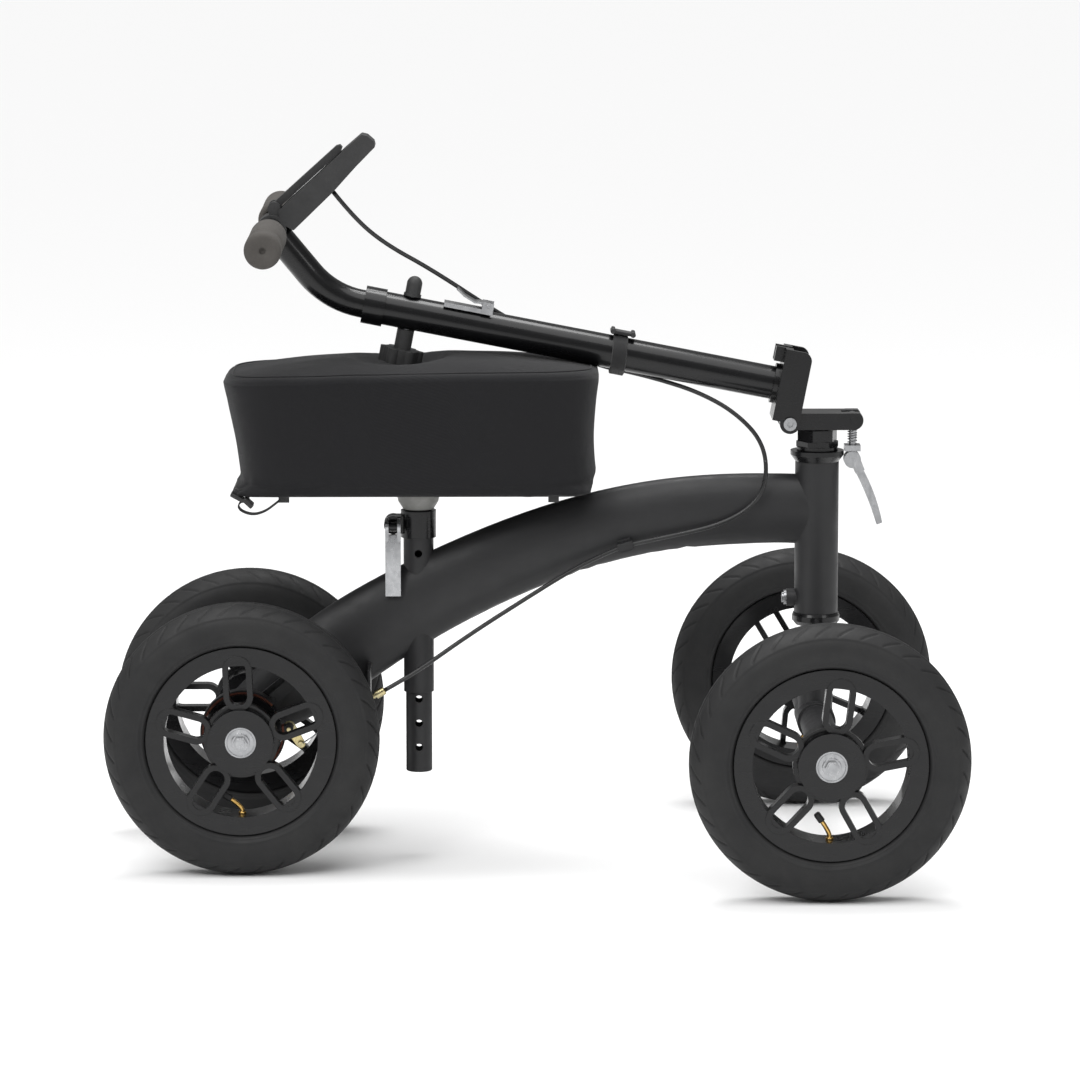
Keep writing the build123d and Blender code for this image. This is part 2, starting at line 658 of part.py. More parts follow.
# ---- Hook-and-loop strap that ties the cable to the column -------------------------------------
strap_t = 205
cable_r = cable_d / 2
cable_seat_r = column_od / 2 + cable_r + 0.4
cable_seat = radians(25)
cable_p = column_offset - cable_seat_r * cos(cable_seat)
cable_y = cable_seat_r * sin(cable_seat)
seat_circle = Pos(cable_p - column_offset, cable_y) * Circle(cable_r + 0.3)
strap_inner = make_hull((Circle(column_od / 2 + 0.2) + seat_circle).edges())
strap_outer = offset(strap_inner, 1.8)
strap = Pos(column_offset, 0, strap_t - 8.5) * extrude(strap_outer - strap_inner, amount=17)
strap += block(column_over_p + 1.9, column_over_p + 6.5, -12, 12, strap_t - 15, strap_t + 15)
add("cable_strap", on_column(strap))

# ---- Brake handle on the bar: hand bar, lever, lever pin --------------------------------------
bar_centre = on_column(Pos(bar_p, 0, bar_t)).position
bar_x = bar_centre.X
bar_z = bar_centre.Z


def from_bar(*points):
    return [(bar_x + dx, bar_z + dz) for dx, dz in points]


handle_outline = from_bar(
    (10, 8), (24.6, -0.9), (69.8, 42.9), (95.6, 71.5), (117.5, 93.9), (116, 99.5), (108.5, 106), (102, 107.5),
    (84.3, 92.3), (52.1, 62), (18, 31.5), (8, 21),
)
handle = side_plate(handle_outline, -19, 19)
handle = fillet(handle.edges().filter_by(Axis.Y), 2.5)
handle += rod_y(bar_x, bar_z, -19, 19, bar_od + 8)
pivot_dx = 3
pivot_dz = 24
lever_pivot = from_bar((pivot_dx, pivot_dz))[0]
for side in (1, -1):
    lug = rod_y(*lever_pivot, side * 9.5, side * 16, 15)
    lug += Pos(bar_x + 4, side * 12.75, bar_z + 16) * Box(14, 6.5, 14)
    handle += lug
handle -= rod_y(bar_x, bar_z, -30, 30, bar_od)
handle -= on_column(along_stem(stem_od + 0.4))
handle -= rod_y(*lever_pivot, -30, 30, 5)
handle -= rod_y(*lever_pivot, -9.4, 9.4, 17.5)
add("brake_handle", handle, rod_y(*lever_pivot, -16, 16, 5))
lever_slope = radians(42)
lever_length = 103
lever_along = Vector(cos(lever_slope), sin(lever_slope))
lever_across = Vector(-sin(lever_slope), cos(lever_slope))
lever_start = Vector(*lever_pivot)
lever_end = lever_start + lever_along * lever_length
lever_corners = [
    lever_start + lever_across * 5,
    lever_start - lever_across * 3.2,
    lever_end - lever_across * 3.2 - lever_along * 4,
    lever_end - lever_across * 1,
    lever_end + lever_across * 3,
    lever_end + lever_across * 5 - lever_along * 4,
]
brake_lever = side_plate([(c.X, c.Y) for c in lever_corners], -9, 9)
brake_lever += rod_y(*lever_pivot, -9, 9, 13)
brake_lever -= rod_y(*lever_pivot, -30, 30, 5 + 2 * fit)
add("brake_lever", brake_lever)

# ---- Brake cable, in four lengths that meet face to face ---------------------------------------
def corner_radii(points):
    """The largest tangent arc each corner leaves room for, 0.45 of its shorter run."""
    radii = []
    for before, at, after in zip(points, points[1:], points[2:]):
        run_in = at - before
        run_out = after - at
        turn = radians(run_in.get_angle(run_out))
        shorter = min(run_in.length, run_out.length)
        radii.append(0.45 * shorter / tan(turn / 2))
    return radii


def cable(name, points, d):
    points = [Vector(*point) for point in points]
    radii = corner_radii(points)
    path = FilletPolyline(*points, radius=radii)
    wire = path.wires()[0]
    solid = sweep(Plane(wire @ 0, z_dir=wire % 0).location * Circle(d / 2), path=wire)
    expected = wire.length * pi * d * d / 4
    print(name, "length", round(wire.length, 1), "radii", [round(r) for r in radii])
    print("   volume over section times length", round(solid.volume / expected, 4))
    add(name, solid)


def column_point(p, y, t):
    return on_column(Pos(p, y, t)).position


def between(a, b, share):
    return Vector(*a) + (Vector(*b) - Vector(*a)) * share


exit_x, exit_z = from_bar((69, 42))[0]
exit_way = Vector(0.62, 0, -0.785)
cable_exit = Vector(exit_x, 0, exit_z) + exit_way * 0.6
over_strap = column_point(cable_p, cable_y, strap_t + 13)
under_strap = column_point(cable_p, cable_y, strap_t - 13)
strap_split = between(over_strap, under_strap, 0.5)
cable(
    "brake_cable_upper",
    [
        cable_exit,
        cable_exit + exit_way * 38,
        (-165, 5, 702),
        (-112, 17, 671.5),
        column_point(column_offset + 15, 24, 345),
        column_point(column_offset - 4, 25.5, 285),
        column_point(column_offset - 16, 18, 243),
        over_strap,
        strap_split,
    ],
    cable_d,
)
loop_top = (264, -24, 479)
loop_side = (269, -29, 437)
loop_split = between(loop_top, loop_side, 0.5)
cable(
    "brake_cable_loop_upper",
    [
        strap_split,
        under_strap,
        (146, 6, 547),
        (190, -4, 534),
        (232, -14, 512),
        loop_top,
        loop_split,
    ],
    cable_d,
)
guide_slope = radians(15.5)
guide_at = Vector(guide_x, -beam_width / 2 - 6, guide_z + 1)
guide_way = Vector(cos(guide_slope), 0, sin(guide_slope))
cable(
    "brake_cable_loop_lower",
    [
        loop_split,
        loop_side,
        (254, -32, 407),
        (216, -32, 385),
        (166, -30.5, 373),
        guide_at + guide_way * 13,
        guide_at,
    ],
    cable_d,
)
cable(
    "brake_cable_lower",
    [
        guide_at,
        guide_at - guide_way * 13,
        (46, -32, 333),
        (-14, -38, 296),
        (-70, -45, 261),
        housing_end + adjuster_axis * 36,
        housing_end,
    ],
    cable_d,
)
guide = Box(18, 8, 9) - Rot(0, 90, 0) * Cylinder(cable_r + 0.2, 30)
add("cable_guide", Pos(*guide_at) * Rot(0, -degrees(guide_slope), 0) * guide)

# ---- Rear band brake ---------------------------------------------------------------------------
drum_outer_y = -(rear_track / 2 - hub_width / 2)
drum_end_y = drum_outer_y + drum_width
drum = rod_y(rear_x, axle_z, drum_outer_y, drum_end_y, 2 * drum_r)
drum -= rod_y(rear_x, axle_z, drum_outer_y + 5, drum_end_y + 1, 2 * drum_r - 8)
drum -= rod_y(rear_x, axle_z, drum_outer_y - 1, drum_end_y, 24)
add("brake_drum", drum)
band_y0 = drum_outer_y + 4
band_y1 = drum_end_y - 2
lining_in = drum_r + running_gap
band_in = lining_in + lining_t
band_out = band_in + band_t


def arc_ring(r0, r1, gap_angle, gap_centre):
    ring = rod_y(rear_x, axle_z, band_y0, band_y1, 2 * r1)
    ring -= rod_y(rear_x, axle_z, band_y0 - 1, band_y1 + 1, 2 * r0)
    spread = radians(gap_angle / 2)
    centre = radians(gap_centre)
    far = r1 * 1.6
    wedge = [(rear_x, axle_z)]
    turns = [centre + k * spread for k in (-1, 0, 1)]
    wedge += [(rear_x + far * cos(turn), axle_z + far * sin(turn)) for turn in turns]
    return ring - side_plate(wedge, band_y0 - 2, band_y1 + 2)


gap_centre = 26
add("brake_lining", arc_ring(lining_in, band_in, 34, gap_centre))
anchor_angle = radians(gap_centre + 22)
arm_angle = radians(gap_centre - 22)
lug_r = band_out + 3.6


def lug_at(angle):
    return (rear_x + lug_r * cos(angle), axle_z + lug_r * sin(angle))


band = arc_ring(band_in, band_out, 34, gap_centre)
for angle in (anchor_angle, arm_angle):
    lug = rod_y(*lug_at(angle), band_y0, band_y1, 10)
    foot = (rear_x + band_in * cos(angle), axle_z + band_in * sin(angle))
    band += lug
    band -= rod_y(*lug_at(angle), band_y0 - 1, band_y1 + 1, 5)
band -= rod_y(rear_x, axle_z, band_y0 - 1, band_y1 + 1, 2 * band_in)
add("brake_band", band)
plate_y0 = drum_end_y + 2.5
plate_y1 = axle_tube_right
anchor_x, anchor_z = lug_at(anchor_angle)
backing = rod_y(rear_x, axle_z, plate_y0, plate_y1, 56) + side_plate(
    [
        (rear_x - 8, axle_z + 20),
        (rear_x + 20, axle_z - 8),
        (anchor_x + 10, anchor_z - 6),
        (anchor_x + 24, anchor_z + 20),
        (anchor_x + 14, anchor_z + 26),
        (anchor_x - 8, anchor_z + 8),
    ],
    plate_y0,
    plate_y1,
)
backing -= rod_y(rear_x, axle_z, plate_y0 - 1, plate_y1 + 1, 20 + 2 * fit)
backing -= rod_y(anchor_x, anchor_z, plate_y0 - 1, plate_y1 + 1, 5 + 2 * fit)
strap_plate = side_plate(
    [
        (anchor_x - 5, anchor_z + 5),
        (anchor_x + 5, anchor_z - 5),
        (anchor_x + 26, anchor_z + 14),
        (anchor_x + 17, anchor_z + 24),
    ],
    band_y0 - 2.6,
    band_y0 - 0.6,
)
anchor_pin = rod_y(anchor_x, anchor_z, band_y0 - 3, plate_y1 + 2, 5)
strap_plate -= rod_y(anchor_x, anchor_z, -200, 0, 5)
add("brake_backing_plate", backing, anchor_pin, strap_plate)
arm_x, arm_z = lug_at(arm_angle)
arm_y0 = band_y1 + 0.5
arm_tip_x = arm_x + 13
arm_tip_z = arm_z - 20
arm = rod_y(arm_x, arm_z, arm_y0, arm_y0 + 3, 13) + rod_y(arm_tip_x, arm_tip_z, arm_y0, arm_y0 + 3, 10)
arm += side_plate(
    [
        (arm_x - 5.5, arm_z - 3.5),
        (arm_x + 5.5, arm_z + 3.5),
        (arm_tip_x + 4.2, arm_tip_z + 2.6),
        (arm_tip_x - 4.2, arm_tip_z - 2.6),
    ],
    arm_y0,
    arm_y0 + 3,
)
arm += rod_y(arm_x, arm_z, band_y0 - 3, arm_y0, 5 - 2 * fit)
arm += rod_y(arm_tip_x, arm_tip_z, arm_y0 - 6, arm_y0, 7)
add("brake_arm", arm)
tip = Vector(arm_tip_x, arm_y0 - 3, arm_tip_z)
towards = (barrel_tail - tip).normalized()
wire_start = tip + towards * 3.9
wire_end = barrel_tail - towards * 0.6
add("brake_wire", rod(wire_start, wire_end, wire_d))
barrel = rod(barrel_tail, housing_end - adjuster_axis * 6, 5.6)
barrel += rod(housing_end - adjuster_axis * 11, housing_end, 9.5)
add("cable_adjuster", barrel)

# ---- Seat clamp --------------------------------------------------------------------------------
clamp_z0 = seat_tube_top_z - 30
clamp_z1 = seat_tube_top_z + 1
ear_x = seat_x - seat_tube_od / 2 - 11.5
ear_z = seat_tube_top_z - 15
clamp = rod_z(seat_x, 0, clamp_z0, clamp_z1, seat_tube_od + 6)
for side in (1, -1):
    clamp += rod_y(ear_x, ear_z, side * 2.5, side * 12, 21)
    y_near, y_far = sorted((side * 2.5, side * 12))
    clamp += block(ear_x, seat_x - seat_tube_od / 2, y_near, y_far, ear_z - 10, ear_z + 10)
clamp -= rod_z(seat_x, 0, clamp_z0 - 1, seat_tube_top_z, seat_tube_od)
clamp -= rod_z(seat_x, 0, clamp_z0 - 1, clamp_z1 + 1, post_od + 1)
clamp -= block(seat_x - 60, seat_x, -2.5, 2.5, clamp_z0 - 1, clamp_z1 + 1)
clamp -= rod_y(ear_x, ear_z, -30, 30, 6 + 2 * fit)
seat_pivot_y = -12 - cam_r - 0.3
clamp_bolt = rod_y(ear_x, ear_z, seat_pivot_y, 16, 6)
clamp_bolt += Pos(ear_x, seat_pivot_y, ear_z) * Rot(0, 90, 0) * Cylinder(5.5, 8.6)
clamp_bolt += Pos(ear_x, 14.2, ear_z) * Rot(90, 0, 0) * extrude(RegularPolygon(6.5, 6), amount=2.1, both=True)
clamp_bolt += Pos(ear_x, seat_pivot_y, ear_z) * Rot(0, 90, 0) * Cylinder(3, 17)
add("seat_clamp", clamp, clamp_bolt)
seat_lever_place = Plane(origin=(ear_x, seat_pivot_y, ear_z), x_dir=(0, 0, -1), z_dir=(0, -1, 0))
add("seat_lever", seat_lever_place.location * cam_lever(80, 17.6, 7, -2, 9.2, fit))

# ---- Seat post, flange, board, pad -------------------------------------------------------------
flange_bottom_z = clamp_z1 + 1.5
post = tube_z(seat_x, 0, post_bottom_z, flange_top_z - 6, post_od, post_bore)
hole_count = 9
for i in range(hole_count):
    post -= rod_y(seat_x, post_first_hole_z + i * post_hole_pitch, -40, 40, post_hole_d)
post = chamfer(post.edges().filter_by(GeomType.CIRCLE).sort_by(Axis.Z)[0:2], 0.8)
add("seat_post", post)
flange = Pos(seat_x, 0, flange_bottom_z) * turned(
    [
        (post_od / 2, 0),
        (post_od / 2 + 2.5, 0),
        (23, 9),
        (24, 14),
        (24, flange_top_z - flange_bottom_z - 4),
        (38, flange_top_z - flange_bottom_z - 4),
        (38, flange_top_z - flange_bottom_z),
        (0, flange_top_z - flange_bottom_z),
        (0, flange_top_z - flange_bottom_z - 6),
        (post_od / 2, flange_top_z - flange_bottom_z - 6),
    ]
)
pad_mid_x = pad_front_x - pad_length / 2
pad_corner = 34
board = Pos(pad_mid_x, 0, flange_top_z) * extrude(
    RectangleRounded(pad_length - 26, pad_width - 22, pad_corner - 8), amount=board_t
)
pad = Pos(pad_mid_x, 0, pad_bottom_z) * extrude(
    RectangleRounded(pad_length, pad_width, pad_corner), amount=pad_top_z - pad_bottom_z
)
pad = fillet(pad.edges().sort_by(Axis.Z)[-8:], 12)
add("knee_pad", pad)
screws = []
for dx in (-1, 1):
    for dy in (-1, 1):
        place = (seat_x + dx * 30, dy * 12)
        screws.append(rod_z(*place, flange_top_z - 8, flange_top_z - 4, 10))
add("seat_flange", flange, *screws)
tabs = []
for x in (pad_mid_x - 144, pad_mid_x + 160):
    tabs.append(block(x - 6, x + 6, -pad_width / 2 + 16, -pad_width / 2 + 20, flange_top_z - 7, flange_top_z))
add("pad_board", board, *tabs)
buckle_x = pad_mid_x - pad_length / 2 + 16
webbing = block(buckle_x, buckle_x + 34, -62, -42, flange_top_z - 2, flange_top_z)
buckle = block(buckle_x - 10, buckle_x - 1, -66, -38, flange_top_z - 10, flange_top_z - 0.3)
buckle += block(buckle_x - 1, buckle_x + 4, -66, -38, flange_top_z - 5, flange_top_z - 2)
add("pad_strap", webbing, buckle)

# ---- Write one STEP file for each piece --------------------------------------------------------
for name, shape in nodes.items():
    export_step(shape, "parts/" + name + ".step")
print(len(nodes), "pieces")
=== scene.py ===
"""Folding knee scooter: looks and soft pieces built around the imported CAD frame."""
import math

import bmesh
import bpy
from mathutils import Euler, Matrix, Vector, noise


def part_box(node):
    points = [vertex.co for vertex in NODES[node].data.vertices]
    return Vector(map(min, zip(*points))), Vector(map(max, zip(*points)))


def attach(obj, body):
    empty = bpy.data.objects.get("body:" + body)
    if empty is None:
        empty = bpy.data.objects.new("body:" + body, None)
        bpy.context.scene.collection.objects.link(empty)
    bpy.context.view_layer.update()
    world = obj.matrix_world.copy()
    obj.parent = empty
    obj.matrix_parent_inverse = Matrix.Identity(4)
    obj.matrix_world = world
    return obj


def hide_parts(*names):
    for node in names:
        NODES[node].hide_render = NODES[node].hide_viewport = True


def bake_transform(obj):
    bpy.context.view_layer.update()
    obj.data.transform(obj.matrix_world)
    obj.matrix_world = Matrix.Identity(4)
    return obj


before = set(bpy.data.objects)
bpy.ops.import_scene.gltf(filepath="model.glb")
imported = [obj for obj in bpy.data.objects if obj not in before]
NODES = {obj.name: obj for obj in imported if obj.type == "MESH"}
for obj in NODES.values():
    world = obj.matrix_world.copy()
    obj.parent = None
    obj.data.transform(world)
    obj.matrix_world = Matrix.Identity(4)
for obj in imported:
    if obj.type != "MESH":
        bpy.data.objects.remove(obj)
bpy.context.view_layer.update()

TILT = math.radians(11)
HINGE = Vector((0.294, 0, 0.5))
P_AXIS = Vector((math.sin(TILT), 0, math.cos(TILT)))
T_AXIS = Vector((-math.cos(TILT), 0, math.sin(TILT)))
WHEELS = {
    "front_right": (-1, 36, 0.0),
    "front_left": (1, 36, 4.0),
    "rear_right": (-1, 36, 2.0),
    "rear_left": (1, 36, 7.0),
}


def on_column(p, y, t):
    """A point given ahead of, beside and along the column, in millimetres."""
    return HINGE + P_AXIS * p / 1000 + Vector((0, y / 1000, 0)) + T_AXIS * t / 1000


# ---- Materials ---------------------------------------------------------------------------------
class Shader:
    """A small helper around a node tree with one Principled shader."""

    def __init__(self, name, colour, rough, metallic=0.0):
        self.mat = bpy.data.materials.new(name)
        self.mat.use_nodes = True
        self.tree = self.mat.node_tree
        self.bsdf = self.tree.nodes["Principled BSDF"]
        self.bsdf.inputs["Base Color"].default_value = (*colour, 1)
        self.bsdf.inputs["Roughness"].default_value = rough
        self.bsdf.inputs["Metallic"].default_value = metallic
        self.colour = colour
        self.coords = self.tree.nodes.new("ShaderNodeTexCoord")
        self.normal = None

    def node(self, kind, **values):
        made = self.tree.nodes.new("ShaderNode" + kind)
        for key, value in values.items():
            if hasattr(made, key):
                setattr(made, key, value)
            else:
                made.inputs[key.replace("_", " ")].default_value = value
        return made

    def link(self, a, b):
        self.tree.links.new(a, b)

    def stretched(self, scale, source="Object"):
        mapping = self.node("Mapping")
        mapping.inputs["Scale"].default_value = scale
        self.link(self.coords.outputs[source], mapping.inputs["Vector"])
        return mapping.outputs["Vector"]

    def noise(self, scale, detail=4.0, vector=None, roughness=0.6):
        made = self.node("TexNoise")
        made.inputs["Scale"].default_value = scale
        made.inputs["Detail"].default_value = detail
        made.inputs["Roughness"].default_value = roughness
        self.link(vector or self.coords.outputs["Object"], made.inputs["Vector"])
        return made.outputs["Fac"]

    def ramp(self, factor, low, high, a, b):
        made = self.node("MapRange")
        made.inputs["From Min"].default_value = low
        made.inputs["From Max"].default_value = high
        made.inputs["To Min"].default_value = a
        made.inputs["To Max"].default_value = b
        self.link(factor, made.inputs["Value"])
        return made.outputs["Result"]

    def vary_colour(self, factor, other):
        made = self.node("Mix", data_type="RGBA")
        made.inputs["A"].default_value = (*self.colour, 1)
        made.inputs["B"].default_value = (*other, 1)
        self.link(factor, made.inputs["Factor"])
        previous = self.bsdf.inputs["Base Color"]
        if previous.is_linked:
            self.link(previous.links[0].from_socket, made.inputs["A"])
        self.link(made.outputs["Result"], self.bsdf.inputs["Base Color"])

    def vary_rough(self, factor):
        self.link(factor, self.bsdf.inputs["Roughness"])

    def bump(self, height, strength, distance):
        made = self.node("Bump")
        made.inputs["Strength"].default_value = strength
        made.inputs["Distance"].default_value = distance
        self.link(height, made.inputs["Height"])
        if self.normal is not None:
            self.link(self.normal, made.inputs["Normal"])
        self.normal = made.outputs["Normal"]
        self.link(self.normal, self.bsdf.inputs["Normal"])

    def soft_edges(self, radius):
        made = self.node("Bevel")
        made.samples = 4
        made.inputs["Radius"].default_value = radius
        self.normal = made.outputs["Normal"]
        self.link(self.normal, self.bsdf.inputs["Normal"])

    def math(self, kind, a, b=None):
        made = self.node("Math", operation=kind)
        for socket, value in zip(made.inputs, (a, b)):
            if value is None:
                continue
            if isinstance(value, (int, float)):
                socket.default_value = value
            else:
                self.link(value, socket)
        return made.outputs["Value"]


def satin_paint():
    """Black powder coat: fine orange peel with slightly dusty patches."""
    s = Shader("satin_black_paint", (0.015, 0.015, 0.016), 0.5)
    s.bsdf.inputs["Specular IOR Level"].default_value = 0.4
    s.soft_edges(0.0012)
    s.vary_colour(s.ramp(s.noise(9, 5), 0.45, 0.75, 0, 0.6), (0.02, 0.02, 0.021))
    s.vary_rough(s.ramp(s.noise(60, 6), 0.3, 0.7, 0.42, 0.54))
    s.bump(s.noise(1500, 3), 0.16, 0.0004)
    s.bump(s.noise(260, 2), 0.05, 0.0006)
    return s.mat


def gloss_paint():
    """Deep black gloss paint under a clear coat, with faint wipe marks."""
    s = Shader("gloss_black_paint", (0.0035, 0.0035, 0.004), 0.3)
    s.soft_edges(0.0012)
    s.bsdf.inputs["Specular IOR Level"].default_value = 0.22
    s.bsdf.inputs["Coat Weight"].default_value = 0.3
    s.bsdf.inputs["Coat Roughness"].default_value = 0.09
    wipe = s.noise(14, 8, s.stretched((1, 1, 6)))
    s.vary_rough(s.ramp(wipe, 0.35, 0.7, 0.24, 0.36))
    s.vary_colour(s.ramp(s.noise(40, 4), 0.5, 0.8, 0, 0.5), (0.008, 0.008, 0.0085))
    s.bump(s.noise(320, 2), 0.025, 0.0005)
    return s.mat


def zinc_metal(name, colour, other, rough):
    """Bright zinc plating: brushed streaks in the roughness and bump, and a random darker mottle in the
    colour.
    """
    s = Shader(name, colour, rough, 1.0)
    s.soft_edges(0.0005)
    streaks = s.noise(220, 5, s.stretched((1, 6, 0.25)))
    s.vary_colour(s.ramp(s.noise(90, 5), 0.4, 0.75, 0, 0.8), other)
    s.vary_rough(s.ramp(streaks, 0.3, 0.7, rough - 0.08, rough + 0.12))
    s.bump(streaks, 0.08, 0.0002)
    return s.mat


def tyre_rubber():
    """Moulded black tyre: matt, with bloom on the sidewall and fine mould texture."""
    s = Shader("tyre_rubber", (0.0145, 0.0145, 0.015), 0.62)
    s.bsdf.inputs["Specular IOR Level"].default_value = 0.3
    s.vary_colour(s.ramp(s.noise(16, 7), 0.42, 0.8, 0, 0.75), (0.023, 0.023, 0.0225))
    s.vary_colour(s.ramp(s.noise(420, 3), 0.62, 0.8, 0, 0.35), (0.034, 0.033, 0.032))
    s.vary_rough(s.ramp(s.noise(45, 6), 0.3, 0.7, 0.54, 0.72))
    s.bump(s.noise(900, 4), 0.22, 0.0004)
    return s.mat


def foam_rubber():
    """Closed-cell foam grip: grey-brown with tiny pores, darkened at their pits as painted shade."""
    s = Shader("grip_foam", (0.058, 0.053, 0.048), 0.86)
    pores_and_painted_shade = s.node("TexVoronoi")
    pores_and_painted_shade.inputs["Scale"].default_value = 1100
    s.link(s.coords.outputs["Object"], pores_and_painted_shade.inputs["Vector"])
    # painted shade: the colour darkens toward each cell point, the same spots the bump sinks into pores
    s.vary_colour(s.ramp(pores_and_painted_shade.outputs["Distance"], 0.1, 0.6, 0.5, 0), (0.03, 0.027, 0.025))
    s.vary_colour(s.ramp(s.noise(30, 5), 0.45, 0.75, 0, 0.6), (0.075, 0.07, 0.064))
    s.bump(pores_and_painted_shade.outputs["Distance"], 0.35, 0.0005)
    return s.mat


def moulded_plastic(name, colour, rough, grain=700):
    """Moulded plastic with a fine spark-eroded grain."""
    s = Shader(name, colour, rough)
    s.soft_edges(0.0009)
    lighter = tuple(c * 1.7 for c in colour)
    s.vary_colour(s.ramp(s.noise(55, 5), 0.45, 0.8, 0, 0.6), lighter)
    s.vary_rough(s.ramp(s.noise(120, 4), 0.3, 0.7, rough - 0.07, rough + 0.1))
    s.bump(s.noise(grain, 2), 0.2, 0.0004)
    return s.mat


def woven(name, colour, lighter, pitch, slant=0.0, sheen=0.0, depth=0.0004):
    """Cloth on UVs in metres: warp and weft waves in the bump, with a painted highlight on the raised
    crossings and painted shade between them, and uneven yarn colour.
    """
    s = Shader(name, colour, 0.88)
    s.bsdf.inputs["Sheen Weight"].default_value = sheen
    s.bsdf.inputs["Sheen Roughness"].default_value = 0.5
    s.bsdf.inputs["Specular IOR Level"].default_value = 0.25
    mapping = s.node("Mapping")
    mapping.inputs["Rotation"].default_value = (0, 0, slant)
    s.link(s.coords.outputs["UV"], mapping.inputs["Vector"])
    split = s.node("SeparateXYZ")
    s.link(mapping.outputs["Vector"], split.inputs["Vector"])
    turns = 2 * math.pi / pitch
    across = s.math("SINE", s.math("MULTIPLY", split.outputs["X"], turns))
    along = s.math("SINE", s.math("MULTIPLY", split.outputs["Y"], turns))
    weave_relief_and_painted_light = s.math("MULTIPLY", across, along)
    yarn = s.noise(380, 4)
    # painted highlight and painted shade: lighter on the raised weave crossings, darker in the hollows,
    # following the bump height
    s.vary_colour(s.ramp(weave_relief_and_painted_light, -1, 1, 0, 0.7), lighter)
    s.vary_colour(s.ramp(yarn, 0.5, 0.8, 0, 0.5), lighter)
    s.bump(s.math("ADD", weave_relief_and_painted_light, s.math("MULTIPLY", yarn, 0.8)), 0.5, depth)
    s.bump(s.noise(24, 4), 0.18, 0.004)
    return s.mat


def friction_lining():
    """Reddish-brown brake lining with woven flecks."""
    s = Shader("brake_lining_mat", (0.13, 0.035, 0.022), 0.8)
    s.vary_colour(s.ramp(s.noise(700, 3), 0.5, 0.7, 0, 0.9), (0.28, 0.12, 0.06))
    s.bump(s.noise(900, 3), 0.4, 0.0005)
    return s.mat


satin = satin_paint()
gloss = gloss_paint()
zinc = zinc_metal("bright_zinc", (0.4, 0.405, 0.415), (0.28, 0.285, 0.295), 0.28)
yellow_zinc = zinc_metal("yellow_zinc", (0.66, 0.56, 0.28), (0.5, 0.47, 0.33), 0.3)
brass = zinc_metal("valve_brass", (0.78, 0.5, 0.16), (0.6, 0.36, 0.1), 0.28)
rubber = tyre_rubber()
foam = foam_rubber()
plastic = moulded_plastic("black_plastic", (0.012, 0.012, 0.0125), 0.42)
dull_plastic = moulded_plastic("dull_plastic", (0.02, 0.02, 0.0205), 0.6)
grey_plastic = moulded_plastic("grey_plastic", (0.2, 0.2, 0.19), 0.5)
housing = moulded_plastic("cable_housing_mat", (0.011, 0.011, 0.0115), 0.3, 1400)
knit = woven("pad_fabric_mat", (0.0052, 0.0052, 0.0062), (0.011, 0.011, 0.0125), 0.0011, 0.6, 0.12, 0.00025)
strapping = woven("webbing_mat", (0.012, 0.012, 0.0125), (0.03, 0.03, 0.031), 0.0016, 0.0, 0.2, 0.0005)
lining = friction_lining()
seam_thread = woven("seam_thread", (0.007, 0.007, 0.008), (0.02, 0.02, 0.021), 0.0009, 0.5, 0.1)

FINISH = {
    satin: "main_frame front_axle_beam brake_backing_plate seat_post brake_band cable_guide",
    gloss: "steerer_tube hinge_head column_tube column_collar handlebar_stem headset_cups headset_nuts "
    "seat_clamp hinge_base brake_drum",
    zinc: "stop_bolt rear_axle front_axle hinge_pin swing_bolt hinge_lever latch_base latch_lever "
    "seat_lever brake_wire",
    yellow_zinc: "cable_adjuster brake_arm",
    lining: "brake_lining",
    dull_plastic: "brake_handle brake_lever height_bolt",
    grey_plastic: "seat_flange",
}


def paint(obj, *mats):
    obj.data.materials.clear()
    for mat in mats:
        obj.data.materials.append(mat)


for mat, names in FINISH.items():
    for name in names.split():
        paint(NODES[name], mat)
for wheel in WHEELS:
    paint(NODES[wheel + "_rim"], gloss)
    paint(NODES[wheel + "_bearings"], zinc)


# ---- Mesh helpers ------------------------------------------------------------------------------
def mesh_object(name, verts, faces, mat, smooth=True):
    mesh = bpy.data.meshes.new(name)
    mesh.from_pydata([tuple(v) for v in verts], [], faces)
    mesh.validate()
    made = bpy.data.objects.new(name, mesh)
    bpy.context.scene.collection.objects.link(made)
    bm = bmesh.new()
    bm.from_mesh(mesh)
    bmesh.ops.recalc_face_normals(bm, faces=bm.faces)
    bm.to_mesh(mesh)
    bm.free()
    if smooth:
        mesh.shade_smooth()
    if mat:
        paint(made, mat)
    return made


def spin(name, profile, centre, axis, segments, mat, closed=True):
    """A surface of revolution from (radius, height) points about an axis."""
    axis = Vector(axis).normalized()
    side = axis.orthogonal().normalized()
    up = axis.cross(side)
    verts = []
    faces = []
    count = len(profile)
    for k in range(segments):
        angle = 2 * math.pi * k / segments
        out = side * math.cos(angle) + up * math.sin(angle)
        for r, h in profile:
            verts.append(Vector(centre) + out * r + axis * h)
    for k in range(segments):
        for i in range(count if closed else count - 1):
            j = (i + 1) % count
            n = (k + 1) % segments
            faces.append((k * count + i, k * count + j, n * count + j, n * count + i))
    return mesh_object(name, verts, faces, mat)


def smooth_path(points, resolution=10):
    """Evenly followed points on the NURBS line that has these control points."""
    data = bpy.data.curves.new("route", "CURVE")
    data.dimensions = "3D"
    spline = data.splines.new("NURBS")
    spline.points.add(len(points) - 1)
    for spot, point in zip(spline.points, points):
        spot.co = (*point, 1)
    spline.order_u = 3
    spline.use_endpoint_u = True
    data.resolution_u = resolution
    holder = bpy.data.objects.new("route", data)
    bpy.context.scene.collection.objects.link(holder)
    bpy.context.view_layer.update()
    mesh = bpy.data.meshes.new_from_object(holder)
    path = [v.co.copy() for v in mesh.vertices]
    bpy.data.objects.remove(holder)
    bpy.data.meshes.remove(mesh)
    return path


